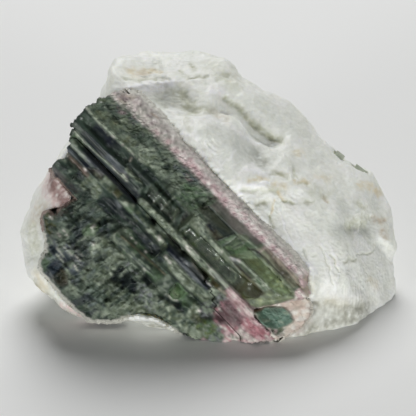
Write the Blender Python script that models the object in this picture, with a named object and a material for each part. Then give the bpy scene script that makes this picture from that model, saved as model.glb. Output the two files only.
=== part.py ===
"""Tourmaline crystals in white albite: a hand specimen, broken open along the crystals.

Metres, +Z up, origin in the middle of the specimen's footprint on the table.
The specimen is laid out in millimetres in the frame of its broken face: x to the right, y up the face,
z out of the face. One empty leans that frame back and stands it on its base.
The crystals have a frame of their own in that face: a runs along them, down to the right, b across them.
"""

import math
import random

import bmesh
import bpy
from mathutils import Matrix, Vector, noise

MM = 0.001

# Driving dimensions, in millimetres and degrees
FACE_ELEVATION = 27.0      # how far the broken face looks up above the horizon
BASE_DROP = 22.8           # from the middle of the face down to the table
CRYSTAL_LIFT = 0.3         # the crystals' clearance above the table
GAP = 0.3                  # clearance between neighbouring solids
CRYSTAL_TURN = -46.0       # the crystals' direction in the face, from +x
FRONT = 16.0               # in front of everything, for cutters that open towards the viewer

# The rock: a rounded polyhedron of broken faces around a centre
ROCK_CENTRE = Vector((0.5, 0.0, -17.0))
ROCK_ROUNDING = 46.0       # higher is sharper where two broken faces meet
ROCK_SUBDIVISIONS = 6
ROCK_TRIANGLES = 3400
CLEAVAGE_SIZE = 7.5        # width of the small blocks that the rock's surface is broken into
CLEAVAGE_STEP = 1.0        # how far they lie above or below each other
CLEAVAGE_TILT = 0.22
LUMPS = ((11.0, 0.9), (4.5, 0.5))  # width and height of the rock's larger and smaller lumps
FRONT_CALM = 0.55          # how much less broken the front is than the back

# The sides of the rock, seen square to the face: the way each faces from +x, the reach of its edge from
# ROCK_CENTRE, the depth of that edge, and how far the faces before and behind the edge turn away.
ROCK_SIDES = (
    (87.0, 27.7, -20.0, 40.0, 30.0),
    (54.0, 23.8, -19.0, 38.0, 34.0),
    (47.0, 24.0, -18.0, 30.0, 38.0),
    (12.0, 33.2, -18.0, 34.0, 30.0),
    (0.0, 35.4, -17.0, 40.0, 32.0),
    (-97.0, 24.2, -5.0, 26.0, 8.0),
    (-130.0, 31.0, -8.0, 30.0, 26.0),
    (188.0, 34.6, -12.0, 36.0, 34.0),
    (153.0, 27.6, -13.0, 20.0, 34.0),
    (145.0, 27.7, -18.0, 16.0, 36.0),
)

# Broken faces that no side edge bounds: the way each faces and a point on it.
ROCK_FACES = (
    ((0.30, 0.25, 0.92), (4.0, 1.0, 0.4)),
    ((0.38, -0.22, 0.90), (18.0, -12.0, -0.5)),
    ((0.05, 0.50, 0.86), (-8.6, 18.9, -1.0)),
    ((-0.35, -0.10, 0.93), (-24.0, -4.0, -4.0)),
    ((-0.14, -0.96, 0.25), (-9.6, -21.6, -5.0)),
    ((0.0, 0.454, -0.891), (0.0, 8.0, -33.0)),
    ((0.55, 0.25, -0.80), (20.0, 6.0, -30.0)),
    ((-0.50, 0.10, -0.86), (-18.0, 2.0, -29.0)),
    ((0.10, -0.55, -0.83), (0.0, -8.0, -33.0)),
)

# Hollows (negative) and swells (positive) on the front of the rock, seen square to the face:
# the two ends of its middle line, half its width, and its height.
ROCK_RELIEF = (
    ((4.8, 17.5), (13.8, 11.2), 1.2, -2.3),
    ((6.9, 20.4), (17.2, 13.4), 2.0, 1.0),
    ((-7.7, 17.6), (2.6, 15.8), 2.2, -1.6),
    ((-12.0, 20.8), (0.0, 20.6), 1.3, 0.8),
    ((9.0, 10.5), (12.2, 6.0), 2.8, -0.8),
    ((1.0, 11.5), (5.0, 6.5), 2.2, 0.6),
    ((6.0, 3.4), (17.0, 2.6), 1.5, 1.0),
    ((27.0, -2.0), (27.5, -6.5), 3.6, -1.3),
    ((29.0, 3.4), (31.5, -1.0), 2.2, 0.8),
    ((14.0, -2.4), (16.5, -5.4), 2.0, -0.7),
    ((20.0, -14.0), (29.0, -15.2), 2.4, 0.8),
    ((-12.0, 22.6), (-8.5, 22.0), 1.3, -0.9),
    ((-14.4, 22.8), (-12.6, 24.6), 2.0, 1.9),
    ((10.5, -20.4), (15.0, -20.0), 2.4, -2.6),
)

# Cross-section of the main crystal's buried body, in (b, z)
MAIN_SECTION = (
    (4.6, -1.4), (3.6, 0.2), (-6.9, 0.2), (-7.9, -1.0), (-7.9, -5.0), (-4.4, -8.8), (1.6, -8.8), (5.0, -5.0),
)
MAIN_ENDS = (-22.6, 20.8)  # along a

# Cross-section of the raised prism that forms the main crystal's lower half, with its two crests
PRISM_SECTION = (
    (4.4, -0.8), (4.2, 0.9), (1.6, 1.5), (-3.1, 2.2), (-6.2, 0.8), (-7.3, 1.5), (-7.8, 0.3), (-7.8, -2.0),
)
PRISM_ENDS = (1.0, 26.0)
# The two broken faces at its end, each from (a, b) to (a, b), and how far they lean back
PRISM_TIP_CUTS = (((21.4, 4.2), (25.1, 1.8)), ((25.1, 1.8), (19.3, -6.6)))
PRISM_TIP_LEAN = 0.25

# Cross-section of the space in front of the crystals that the rock leaves open, in (b, z)
FRONT_OPENING = ((4.8, -1.3), (4.8, FRONT), (-10.0, FRONT), (-10.0, -1.3))
FRONT_OPENING_ENDS = (-26.0, 20.0)
MAIN_POCKET_ENDS = (-30.0, 22.0)

RIB_SIDES = 9
RIB_BULGE = 0.12           # how far a rib's section swells from a circle towards a triangle

# Ribs of the main crystal: b, z, radius, start and end along a
MAIN_RIBS = (
    (-0.9, 0.6, 1.6, -23.9, -1.2),
    (1.2, 0.9, 1.6, -23.5, 0.6),
    (3.1, 0.4, 1.6, -21.8, 2.2),
    (-5.9, 0.7, 0.8, -25.0, -8.0),
    (-6.9, 0.2, 0.9, -24.6, -6.4),
    (-4.3, 0.0, 0.9, -13.5, -2.0),
    (-7.2, 0.8, 0.8, -7.4, 24.9),
    (4.3, -0.2, 0.8, -21.0, 21.4),
    (-8.6, -0.6, 1.1, 10.5, 24.8),
    (-9.9, -1.6, 1.4, 13.8, 23.2),
    (-8.2, -1.6, 1.4, 14.0, 25.4),
)

# Ribs of the side crystals
SIDE_RIBS = (
    (-8.9, -0.5, 0.9, -24.0, -4.0),
    (-10.1, -0.7, 1.0, -23.0, -7.0),
    (-11.5, -1.2, 0.9, -21.4, -9.0),
    (-13.0, -0.6, 1.6, -22.6, -18.4),
    (-13.3, -1.6, 1.2, -20.0, -12.0),
    (-9.6, 0.3, 0.9, -12.0, 1.0),
    (-9.9, 0.0, 0.8, 1.8, 12.6),
    (-11.6, 0.1, 1.0, 1.6, 10.4),
    (-11.2, -1.1, 1.2, 8.0, 15.0),
    (-14.6, -0.4, 1.0, -6.4, 5.0),
    (-13.9, -1.9, 1.2, 3.4, 12.0),
    (-16.9, -1.2, 1.3, -12.0, -1.0),
    (-19.4, -1.5, 1.4, -15.0, -5.6),
    (-22.3, -1.6, 1.3, -13.4, -4.0),
    (-25.2, -2.2, 1.3, -11.6, -3.2),
    (-17.6, -1.4, 1.5, 1.0, 9.0),
    (-21.0, -2.0, 1.4, -1.0, 6.0),
)

# Outline of the side crystals, seen square to the face, and the depth of their bed
SIDE_OUTLINE = (
    (-24.2, -1.3), (-26.4, -1.8), (-27.2, -3.0), (-26.5, -5.6), (-26.2, -7.8), (-27.4, -10.6),
    (-25.9, -13.8), (-24.0, -16.8), (-21.0, -19.4), (-17.9, -20.7), (-14.2, -20.4), (-11.2, -19.7),
    (-7.8, -20.0), (-5.0, -21.6), (-2.4, -23.6), (0.2, -24.6), (4.0, -25.2), (6.4, -25.0),
    (7.4, -19.2), (0.4, -10.6), (-7.6, -2.4), (-14.6, 4.8), (-21.4, 10.6), (-23.2, 7.6),
    (-25.4, 6.8), (-25.6, 5.0), (-23.6, 2.6), (-21.8, 0.2),
)
SIDE_BED = (-8.0, -1.5)    # back and front of the bed along z
SIDE_BEVEL = 1.6

# Broken grains on the crystals: how many, the corners (a, b) of the area they cover, their height range,
# and the range of their half-lengths
MAIN_GRAINS = (
    (46, (-23.6, -1.9), (0.6, 4.0), (1.5, 2.2), (1.0, 1.7)),
    (9, (-7.0, -7.8), (4.0, -6.6), (1.0, 1.6), (0.6, 1.0)),
    (12, (12.0, -3.6), (21.5, 2.6), (1.2, 1.9), (0.8, 1.4)),
    (10, (-24.6, -7.6), (-22.8, -2.0), (-0.3, 0.8), (0.8, 1.2)),
)
SIDE_GRAIN_COUNT = 66
SIDE_GRAIN_SIZES = (1.3, 2.5)
SIDE_GRAIN_INSET = 1.0     # from the outline to the middle of a grain
SIDE_GRAIN_HEIGHTS = (-2.2, -0.3)
GRAIN_CORNERS = 9
GRAIN_SHAPE = (1.0, 0.72, 0.62)  # length, width and thickness in half-lengths

# Knobs that stand out of the outline or the surface: a, b, z, radius
SIDE_KNOBS = (
    (-20.8, -12.8, -0.4, 1.8), (-3.0, -9.8, 1.0, 0.8), (0.2, -9.8, 0.9, 0.8), (-6.2, -14.8, 0.0, 1.2),
    (9.0, -13.4, -0.6, 1.7), (12.2, -13.4, -0.9, 1.6), (15.2, -14.2, -1.2, 1.8), (17.8, -13.6, -1.6, 1.8),
    (12.0, -17.2, -2.0, 1.6), (-12.0, -26.2, -2.4, 1.4), (-17.6, -20.6, -1.8, 1.4),
)

# Small crystals elsewhere in the rock: middle (x, y, z), half-length, radius, and direction (x, y, z)
SMALL_CRYSTALS = {
    "teal_crystal": ((13.1, -20.3, -4.4), 3.0, 2.9, (0.15, 0.22, 0.96)),
    "rear_crystal_upper": ((24.9, 8.0, -17.2), 0.9, 0.8, (0.82, -0.57, 0.0)),
    "rear_crystal_lower": ((28.6, 5.3, -17.2), 1.3, 0.9, (0.82, -0.57, 0.0)),
}
SMALL_CRYSTAL_TAPER = 0.86
TABLE_BLOCK = 200.0

COLOURS = {
    "albite": ((0.78, 0.79, 0.74, 1.0), 0.6),
    "green tourmaline": ((0.045, 0.075, 0.055, 1.0), 0.25),
    "dark tourmaline": ((0.03, 0.055, 0.045, 1.0), 0.25),
    "teal tourmaline": ((0.06, 0.12, 0.10, 1.0), 0.3),
}
# The materials of the rock and the crystals, in the order that they are built in
MATERIALS = (
    "albite", "green tourmaline", "green tourmaline",
    "teal tourmaline", "dark tourmaline", "dark tourmaline",
)


def clear_scene():
    for obj in list(bpy.data.objects):
        bpy.data.objects.remove(obj, do_unlink=True)


def make_material(name):
    colour, roughness = COLOURS[name]
    material = bpy.data.materials.new(name)
    material.use_nodes = True
    shader = material.node_tree.nodes["Principled BSDF"]
    shader.inputs["Base Color"].default_value = colour
    shader.inputs["Roughness"].default_value = roughness
    shader.inputs["Metallic"].default_value = 0.0
    return material


def add_object(name, shape, collection, parent=None):
    """An object in the collection from a bmesh in millimetres."""
    bmesh.ops.scale(shape, vec=(MM, MM, MM), verts=shape.verts)
    bmesh.ops.recalc_face_normals(shape, faces=shape.faces)
    mesh = bpy.data.meshes.new(name)
    shape.to_mesh(mesh)
    shape.free()
    obj = bpy.data.objects.new(name, mesh)
    obj.parent = parent
    collection.objects.link(obj)
    return obj


def helper_collection(name):
    """A collection of shapes that join or cut others and aren't pieces themselves."""
    collection = bpy.data.collections.new(name)
    bpy.context.scene.collection.children.link(collection)
    collection.hide_render = True
    return collection


def as_helper(obj):
    obj.hide_render = True
    obj.display_type = "WIRE"
    return obj


def keep_main_body(obj):
    """Gives obj the mesh that its modifiers make, less any splinter that they cut loose."""
    bpy.context.view_layer.update()
    shape = bmesh.new()
    shape.from_object(obj, bpy.context.evaluated_depsgraph_get())
    waiting = set(shape.verts)
    bodies = []
    while waiting:
        body = [waiting.pop()]
        for vertex in body:
            joined = {edge.other_vert(vertex) for edge in vertex.link_edges} & waiting
            waiting -= joined
            body.extend(sorted(joined, key=lambda item: item.index))
        bodies.append(body)
    bodies.sort(key=len)
    for body in bodies[:-1]:
        bmesh.ops.delete(shape, geom=body, context="VERTS")
    obj.modifiers.clear()
    shape.to_mesh(obj.data)
    shape.free()


def combine(obj, collection, operation):
    """Join or cut obj with everything in a helper collection."""
    modifier = obj.modifiers.new(operation.lower(), "BOOLEAN")
    modifier.operation = operation
    modifier.operand_type = "COLLECTION"
    modifier.collection = collection
    modifier.solver = "EXACT"


# The rock

def face_planes():
    """Each broken face of the rock as (outward unit normal, distance from ROCK_CENTRE)."""
    planes = []
    for facing, reach, depth, before, behind in ROCK_SIDES:
        turn = math.radians(facing)
        outward = Vector((math.cos(turn), math.sin(turn), 0.0))
        edge = outward * reach + Vector((0.0, 0.0, depth - ROCK_CENTRE.z))
        for tilt in (before, -behind):
            lean = math.radians(tilt)
            normal = outward * math.cos(lean) + Vector((0.0, 0.0, math.sin(lean)))
            planes.append((normal, normal.dot(edge)))
    for direction, point in ROCK_FACES:
        normal = Vector(direction).normalized()
        planes.append((normal, normal.dot(Vector(point) - ROCK_CENTRE)))
    return planes


def rock_reach(direction, planes):
    """How far the rock reaches from its centre, with the edges between its faces rounded."""
    total = 0.0
    for normal, distance in planes:
        facing = normal.dot(direction)
        if facing > 0.0:
            total += (facing / distance) ** ROCK_ROUNDING
    return total ** (-1.0 / ROCK_ROUNDING)


def relief(point):
    """Height of the hollows and swells on the front of the rock."""
    height = 0.0
    for start, end, half_width, rise in ROCK_RELIEF:
        along = Vector(end) - Vector(start)
        offset = Vector((point.x, point.y)) - Vector(start)
        share = min(1.0, max(0.0, offset.dot(along) / along.length_squared))
        away = (offset - along * share).length / half_width
        height += rise * math.exp(-away * away)
    return height


def ledges(point):
    """Steps between small cleavage blocks, which lie at different heights and tilt different ways."""
    nearest = noise.voronoi(point / CLEAVAGE_SIZE)[1][0]
    level = noise.cell(nearest * 3.7) - 0.5
    tilt = Vector(noise.cell_vector(nearest * 2.3)) - Vector((0.5, 0.5, 0.5))
    return CLEAVAGE_STEP * level + CLEAVAGE_TILT * tilt.dot(point - nearest * CLEAVAGE_SIZE)


def lumps(point):
    return sum(height * noise.noise(point / width) for width, height in LUMPS)


def build_rock(collection, parent):
    shape = bmesh.new()
    bmesh.ops.create_icosphere(shape, subdivisions=ROCK_SUBDIVISIONS, radius=1.0)
    planes = face_planes()
    for vertex in shape.verts:
        direction = vertex.co.normalized()
        point = ROCK_CENTRE + direction * rock_reach(direction, planes)
        in_front = min(1.0, max(0.0, 0.5 + 2.0 * direction.z))
        height = (1.0 - FRONT_CALM * in_front) * ledges(point) + lumps(point) + in_front * relief(point)
        vertex.co = point + direction * height
    rock = add_object("albite_matrix", shape, collection, parent)
    thin = rock.modifiers.new("fewer faces", "DECIMATE")
    thin.ratio = ROCK_TRIANGLES / (20 * 4 ** (ROCK_SUBDIVISIONS - 1))
    return rock


# The crystals

def crystal_frame():
    return Matrix.Rotation(math.radians(CRYSTAL_TURN), 4, "Z")


def section_prism(section, start, end, grow=0.0):
    """A prism along the crystals with a cross-section in (b, z). grow moves its surface outwards."""
    middle = sum((Vector(corner) for corner in section), Vector((0.0, 0.0))) / len(section)
    shape = bmesh.new()
    ring = []
    for corner in section:
        spoke = Vector(corner) - middle
        moved = middle + spoke * (1.0 + 1.5 * grow / spoke.length)
        ring.append(shape.verts.new((start - grow, moved.x, moved.y)))
    side = shape.faces.new(ring)
    swept = bmesh.ops.extrude_face_region(shape, geom=[side])
    tips = [item for item in swept["geom"] if isinstance(item, bmesh.types.BMVert)]
    bmesh.ops.translate(shape, vec=(end - start + 2.0 * grow, 0.0, 0.0), verts=tips)
    bmesh.ops.transform(shape, matrix=crystal_frame(), verts=shape.verts)
    return shape


def rib(b, z, radius, start, end, turn, grow=0.0):
    """One striated crystal along a: a prism whose section is a triangle with bulging sides."""
    shape = bmesh.new()
    length = end - start + 2.0 * grow
    made = bmesh.ops.create_cone(
        shape, cap_ends=True, segments=RIB_SIDES, radius1=radius + grow, radius2=radius + grow, depth=length
    )
    for vertex in made["verts"]:
        angle = math.atan2(vertex.co.y, vertex.co.x)
        swell = 1.0 + RIB_BULGE * math.cos(3.0 * angle)
        vertex.co.x *= swell
        vertex.co.y *= swell
    to_axis = Matrix.Rotation(math.radians(90.0), 4, "Y") @ Matrix.Rotation(turn, 4, "Z")
    place = crystal_frame() @ Matrix.Translation(((start + end) / 2.0, b, z)) @ to_axis
    bmesh.ops.transform(shape, matrix=place, verts=shape.verts)
    return shape


def grain(middle, half_length, turn, rng):
    """A broken grain with flat faces: the hull of a few corners, longer along the crystals than across."""
    shape = bmesh.new()
    reach = Vector(GRAIN_SHAPE) * half_length
    for _ in range(GRAIN_CORNERS):
        way = Vector((rng.uniform(-1, 1), rng.uniform(-1, 1), rng.uniform(-1, 1))).normalized()
        shape.verts.new(Vector(way[i] * reach[i] for i in range(3)))
    hull = bmesh.ops.convex_hull(shape, input=shape.verts)
    inside = [item for item in hull["geom_interior"] if isinstance(item, bmesh.types.BMVert)]
    bmesh.ops.delete(shape, geom=inside, context="VERTS")
    place = Matrix.Translation(middle) @ Matrix.Rotation(turn, 4, "Z")
    bmesh.ops.transform(shape, matrix=place, verts=shape.verts)
    return shape


def in_face(a, b, z):
    """A point of the crystals' frame in the frame of the face."""
    return crystal_frame() @ Vector((a, b, z))


def cut_slanting_end(shape):
    """Breaks the raised prism off along the lines of PRISM_TIP_CUTS."""
    for line in PRISM_TIP_CUTS:
        first, second = (in_face(a, b, 0.0) for a, b in line)
        outward = (first - second).cross(Vector((0.0, 0.0, 1.0))).normalized()
        outward.z = PRISM_TIP_LEAN
        if outward.dot(in_face(1.0, 0.0, 0.0)) < 0.0:
            outward = Vector((-outward.x, -outward.y, outward.z))
        everything = shape.verts[:] + shape.edges[:] + shape.faces[:]
        bmesh.ops.bisect_plane(shape, geom=everything, plane_co=first, plane_no=outward, clear_outer=True)
        rim = [edge for edge in shape.edges if edge.is_boundary]
        bmesh.ops.contextual_create(shape, geom=rim)


def main_shapes(grow=0.0):
    """The shapes that fuse into the main crystal, its grains apart."""
    raised = section_prism(PRISM_SECTION, *PRISM_ENDS, grow)
    cut_slanting_end(raised)
    rng = random.Random(7)
    ribs = [rib(*row, rng.uniform(0.0, 2.0), grow) for row in MAIN_RIBS]
    return [raised] + ribs


def main_grains():
    rng = random.Random(21)
    shapes = []
    for count, low, high, heights, sizes in MAIN_GRAINS:
        for _ in range(count):
            a = rng.uniform(low[0], high[0])
            b = rng.uniform(low[1], high[1])
            turn = math.radians(CRYSTAL_TURN) + rng.gauss(0.0, 0.5)
            shapes.append(grain(in_face(a, b, rng.uniform(*heights)), rng.uniform(*sizes), turn, rng))
    return shapes


def build_main_crystal(collection, parent):
    crystal = add_object("main_crystal", section_prism(MAIN_SECTION, *MAIN_ENDS), collection, parent)
    fused = helper_collection("main crystal shapes")
    for shape in main_shapes() + main_grains():
        as_helper(add_object("main_shape", shape, fused, parent))
    combine(crystal, fused, "UNION")
    return crystal


def outline_slab(outline, back, front, grow=0.0):
    """A slab with a drawn outline; grow moves its outline and its back outwards."""
    shape = bmesh.new()
    count = len(outline)
    ring = []
    for i in range(count):
        before, here, after = (Vector(outline[(i + k) % count]) for k in (-1, 0, 1))
        normals = []
        for along in (here - before, after - here):
            normals.append(Vector((along.y, -along.x)).normalized())
        corner = (normals[0] + normals[1]).normalized()
        reach = grow / max(0.4, corner.dot(normals[0]))
        moved = here + corner * reach
        ring.append(shape.verts.new((moved.x, moved.y, back - grow)))
    side = shape.faces.new(ring)
    swept = bmesh.ops.extrude_face_region(shape, geom=[side])
    tops = [item for item in swept["geom"] if isinstance(item, bmesh.types.BMVert)]
    bmesh.ops.translate(shape, vec=(0.0, 0.0, front - back + grow), verts=tops)
    return shape


def inside_outline(point, outline, inset):
    """True if the point lies in the outline, at least inset from its edge."""
    crossings = 0
    nearest = 1e9
    for i, start in enumerate(outline):
        p, q = Vector(start), Vector(outline[(i + 1) % len(outline)])
        if (p.y > point.y) != (q.y > point.y):
            if point.x < p.x + (point.y - p.y) / (q.y - p.y) * (q.x - p.x):
                crossings += 1
        along = q - p
        share = min(1.0, max(0.0, (point - p).dot(along) / along.length_squared))
        nearest = min(nearest, (p + along * share - point).length)
    return crossings % 2 == 1 and nearest > inset


def side_grains():
    rng = random.Random(5)
    shapes = []
    while len(shapes) < SIDE_GRAIN_COUNT:
        spot = Vector((rng.uniform(-28.0, 6.0), rng.uniform(-25.0, 2.0)))
        if not inside_outline(spot, SIDE_OUTLINE, SIDE_GRAIN_INSET):
            continue
        size = rng.uniform(*SIDE_GRAIN_SIZES)
        turn = math.radians(CRYSTAL_TURN) * rng.uniform(-0.4, 1.3)
        middle = Vector((spot.x, spot.y, rng.uniform(*SIDE_GRAIN_HEIGHTS)))
        shapes.append(grain(middle, size, turn, rng))
    return shapes


def build_side_crystals(collection, parent, keep_clear):
    shape = outline_slab(SIDE_OUTLINE, *SIDE_BED)
    front = [edge for edge in shape.edges if all(vertex.co.z > SIDE_BED[1] - 0.1 for vertex in edge.verts)]
    bmesh.ops.bevel(shape, geom=front, offset=SIDE_BEVEL, segments=1, affect="EDGES")
    crystals = add_object("side_crystals", shape, collection, parent)
    rng = random.Random(11)
    shapes = [rib(*row, rng.uniform(0.0, 2.0)) for row in SIDE_RIBS]
    for a, b, z, radius in SIDE_KNOBS:
        shapes.append(grain(in_face(a, b, z), radius, math.radians(CRYSTAL_TURN), rng))
    fused = helper_collection("side crystal shapes")
    for item in shapes + side_grains():
        as_helper(add_object("side_shape", item, fused, parent))
    combine(crystals, fused, "UNION")
    limits = helper_collection("side crystal limits")
    as_helper(add_object("side_limits", outline_slab(SIDE_OUTLINE, SIDE_BED[0], FRONT), limits, parent))
    combine(crystals, limits, "INTERSECT")
    combine(crystals, keep_clear, "DIFFERENCE")
    return crystals


def small_crystal(middle, half_length, radius, direction, grow=0.0):
    shape = bmesh.new()
    bmesh.ops.create_cone(
        shape, cap_ends=True, segments=6, radius1=radius + grow,
        radius2=SMALL_CRYSTAL_TAPER * radius + grow, depth=2.0 * (half_length + grow),
    )
    turn = Vector(direction).to_track_quat("Z", "Y").to_matrix().to_4x4()
    bmesh.ops.transform(shape, matrix=Matrix.Translation(middle) @ turn, verts=shape.verts)
    return shape


# The whole

def table_cutter(name, top):
    """A block whose top is at a height above the table, to cut off what would reach below it."""
    shape = bmesh.new()
    bmesh.ops.create_cube(shape, size=TABLE_BLOCK)
    bmesh.ops.translate(shape, vec=(0.0, 0.0, top - TABLE_BLOCK / 2.0), verts=shape.verts)
    collection = helper_collection(name)
    as_helper(add_object(name, shape, collection))
    return collection


def stand_on_footprint(frame, pieces):
    """Moves the frame so that the middle of the footprint is the origin."""
    bpy.context.view_layer.update()
    graph = bpy.context.evaluated_depsgraph_get()
    corners = []
    for piece in pieces:
        seen = piece.evaluated_get(graph)
        corners += [seen.matrix_world @ vertex.co for vertex in seen.data.vertices]
    for axis in (0, 1):
        values = [corner[axis] for corner in corners]
        frame.location[axis] -= (min(values) + max(values)) / 2.0


def main():
    clear_scene()
    specimen = bpy.data.collections.new("tourmaline specimen")
    bpy.context.scene.collection.children.link(specimen)
    frame = bpy.data.objects.new("broken face", None)
    frame.rotation_euler = (math.radians(90.0 - FACE_ELEVATION), 0.0, 0.0)
    frame.location = (0.0, 0.0, BASE_DROP * MM)
    specimen.objects.link(frame)

    main_clear = helper_collection("main crystal clearance")
    for shape in [section_prism(MAIN_SECTION, *MAIN_ENDS, GAP)] + main_shapes(GAP):
        as_helper(add_object("main_clear", shape, main_clear, frame))

    rock = build_rock(specimen, frame)
    crystals = [build_main_crystal(specimen, frame), build_side_crystals(specimen, frame, main_clear)]
    pocket = helper_collection("pocket")
    side_pocket = outline_slab(SIDE_OUTLINE, SIDE_BED[0], FRONT, GAP)
    open_front = [(b, FRONT if z > 0.0 else z) for b, z in MAIN_SECTION]
    main_pocket = section_prism(open_front, *MAIN_POCKET_ENDS, 2 * GAP)
    opening = section_prism(FRONT_OPENING, *FRONT_OPENING_ENDS)
    for name, shape in (("side_pocket", side_pocket), ("main_pocket", main_pocket), ("opening", opening)):
        as_helper(add_object(name, shape, pocket, frame))
    for name, (middle, half_length, radius, direction) in SMALL_CRYSTALS.items():
        crystal = add_object(name, small_crystal(middle, half_length, radius, direction), specimen, frame)
        combine(crystal, main_clear, "DIFFERENCE")
        crystals.append(crystal)
        clear = small_crystal(middle, half_length, radius, direction, GAP)
        as_helper(add_object(name + "_clear", clear, pocket, frame))

    combine(rock, pocket, "DIFFERENCE")
    combine(rock, main_clear, "DIFFERENCE")
    combine(rock, table_cutter("table", 0.0), "DIFFERENCE")
    crystal_table = table_cutter("table under crystals", CRYSTAL_LIFT)
    for crystal in crystals:
        combine(crystal, crystal_table, "DIFFERENCE")

    pieces = [rock] + crystals
    for piece in pieces:
        keep_main_body(piece)

    for piece, name in zip(pieces, MATERIALS):
        piece.data.materials.append(bpy.data.materials.get(name) or make_material(name))
    stand_on_footprint(frame, pieces)


main()
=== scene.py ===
"""The looks of the tourmaline specimen: white albite, and the green crystals that it is broken open along.

Shapes are in millimetres in the frame of the broken face: x to the right, y up the face, z out of it.
The crystals use (a, b, z) in that frame: a runs along them, down to the right, and b across them.
"""

import contextlib
import math

import bmesh
import bpy
import numpy as np
from mathutils import Matrix, Vector, noise
from mathutils.bvhtree import BVHTree


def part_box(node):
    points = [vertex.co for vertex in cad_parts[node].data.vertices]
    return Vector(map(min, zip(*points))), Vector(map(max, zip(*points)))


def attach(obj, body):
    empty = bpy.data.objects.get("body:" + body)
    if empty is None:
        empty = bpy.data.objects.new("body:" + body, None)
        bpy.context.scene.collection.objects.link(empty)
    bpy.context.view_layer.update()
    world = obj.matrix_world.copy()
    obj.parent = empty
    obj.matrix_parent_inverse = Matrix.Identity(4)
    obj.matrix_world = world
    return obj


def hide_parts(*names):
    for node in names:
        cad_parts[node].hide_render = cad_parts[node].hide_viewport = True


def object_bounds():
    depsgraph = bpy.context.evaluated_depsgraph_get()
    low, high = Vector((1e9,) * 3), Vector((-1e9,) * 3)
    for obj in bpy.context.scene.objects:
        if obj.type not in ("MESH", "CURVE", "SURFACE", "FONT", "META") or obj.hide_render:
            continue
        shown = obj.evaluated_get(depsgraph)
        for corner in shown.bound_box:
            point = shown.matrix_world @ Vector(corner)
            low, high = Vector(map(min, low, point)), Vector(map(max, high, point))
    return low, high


MM = 0.001
BOX_MARGIN = 0.02          # how far the pieces stay inside the CAD model's box
FACE_ELEVATION = 27.0      # degrees that the broken face looks up above the horizon
CRYSTAL_TURN = -46.0       # the crystals' direction in the face, from +x
REAR_CRYSTAL_MIDDLE = Vector((28.6, 5.3, -17.2))

# Camera, from the photograph's framing
PIXEL = 0.172              # millimetres of the face for one pixel
FRAME_WIDTH = 416 * PIXEL
VIEW_CENTRE = Vector((8 * PIXEL, -8 * PIXEL, 0.0))
CAMERA_DISTANCE = 400.0
SENSOR_WIDTH = 36.0

# What the studio adds to a dark face, and what it leaves of a pale one
SHEEN = 0.012
LIGHT = 0.86


def tone(red, green, blue_sheen_lines):
    """The base colour that shows as these 8-bit values in the studio."""
    shown = (np.array((red, green, blue_sheen_lines)) / 255.0 + 0.055) / 1.055
    return np.clip((shown ** 2.4 - SHEEN) / LIGHT, 0.003, 0.9)


# Colours
INK = tone(34, 37, 44)
NIGHT = tone(46, 52, 49)
BOTTLE = tone(57, 68, 61)
FOREST = tone(74, 85, 75)
MOSS = tone(92, 101, 83)
SAGE = tone(116, 126, 112)
FROST = tone(156, 165, 147)
LEAF = tone(86, 104, 82)
OLIVE = tone(80, 83, 61)
UMBER = tone(58, 56, 46)
SLATE = tone(80, 86, 90)
LILAC = tone(120, 124, 125)
MAUVE = tone(108, 94, 97)
ROSE = tone(164, 122, 128)
PETAL = tone(188, 166, 166)
CHALK = tone(205, 201, 193)
SAND = tone(170, 158, 143)
RUST = tone(108, 82, 68)
LAGOON = tone(100, 118, 104)


# Frames

def face_matrix():
    """The frame of the broken face, in millimetres, found from the place of the lower rear crystal."""
    low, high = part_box("rear_crystal_lower")
    lean = Matrix.Rotation(math.radians(90.0 - FACE_ELEVATION), 4, "X")
    scaled = lean @ Matrix.Scale(MM, 4)
    return Matrix.Translation((low + high) / 2.0 - scaled @ REAR_CRYSTAL_MIDDLE) @ scaled


def to_face(points):
    """Points given as (a, b, z) in the frame of the face."""
    turn = math.radians(CRYSTAL_TURN)
    points = np.asarray(points, float)
    x = points[:, 0] * math.cos(turn) - points[:, 1] * math.sin(turn)
    y = points[:, 0] * math.sin(turn) + points[:, 1] * math.cos(turn)
    return np.column_stack([x, y, points[:, 2]])


def to_world(points):
    matrix = np.array(FACE)
    return np.asarray(points, float) @ matrix[:3, :3].T + matrix[:3, 3]


def from_world(points):
    inverse = np.array(FACE.inverted())
    return points @ inverse[:3, :3].T + inverse[:3, 3]


def keep_in_box(points):
    """World points, moved inside the CAD model's box where they stand out of it."""
    low, high = (np.array(corner) for corner in CAD_BOX)
    return np.clip(points, low + BOX_MARGIN * MM, high - BOX_MARGIN * MM)


# Meshes

def as_piece(name, mesh, material, slot, *nodes):
    obj = bpy.data.objects.new(name, mesh)
    bpy.context.scene.collection.objects.link(obj)
    mesh.materials.append(material)
    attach(obj, "root")
    if nodes:
        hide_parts(*nodes)
    return obj


def paint_points(mesh, tints):
    paint = mesh.color_attributes.new("tint", "FLOAT_COLOR", "POINT")
    paint.data.foreach_set("color", np.column_stack([tints, np.ones(len(tints))]).ravel())


@contextlib.contextmanager
def edited(mesh):
    """The mesh as a bmesh, written back at the end."""
    shape = bmesh.new()
    shape.from_mesh(mesh)
    yield shape
    shape.to_mesh(mesh)
    shape.free()


# Grids of points

def around(grid, step=1):
    """The mean of each point's four neighbours, a number of steps away."""
    return sum(np.roll(grid, step * way, axis) for way, axis in ((1, 0), (-1, 0), (1, 1), (-1, 1))) / 4.0


def grow(kept):
    """The kept points and all that lie beside them."""
    grown = kept.copy()
    for row in (-1, 0, 1):
        for column in (-1, 0, 1):
            grown |= np.roll(kept, (row, column), (0, 1))
    return grown


def squares(grid):
    """The four corners of each square of the grid."""
    return np.stack([grid[:-1, :-1], grid[1:, :-1], grid[1:, 1:], grid[:-1, 1:]], axis=-1)


# Noise

LATTICE = 64


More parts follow.
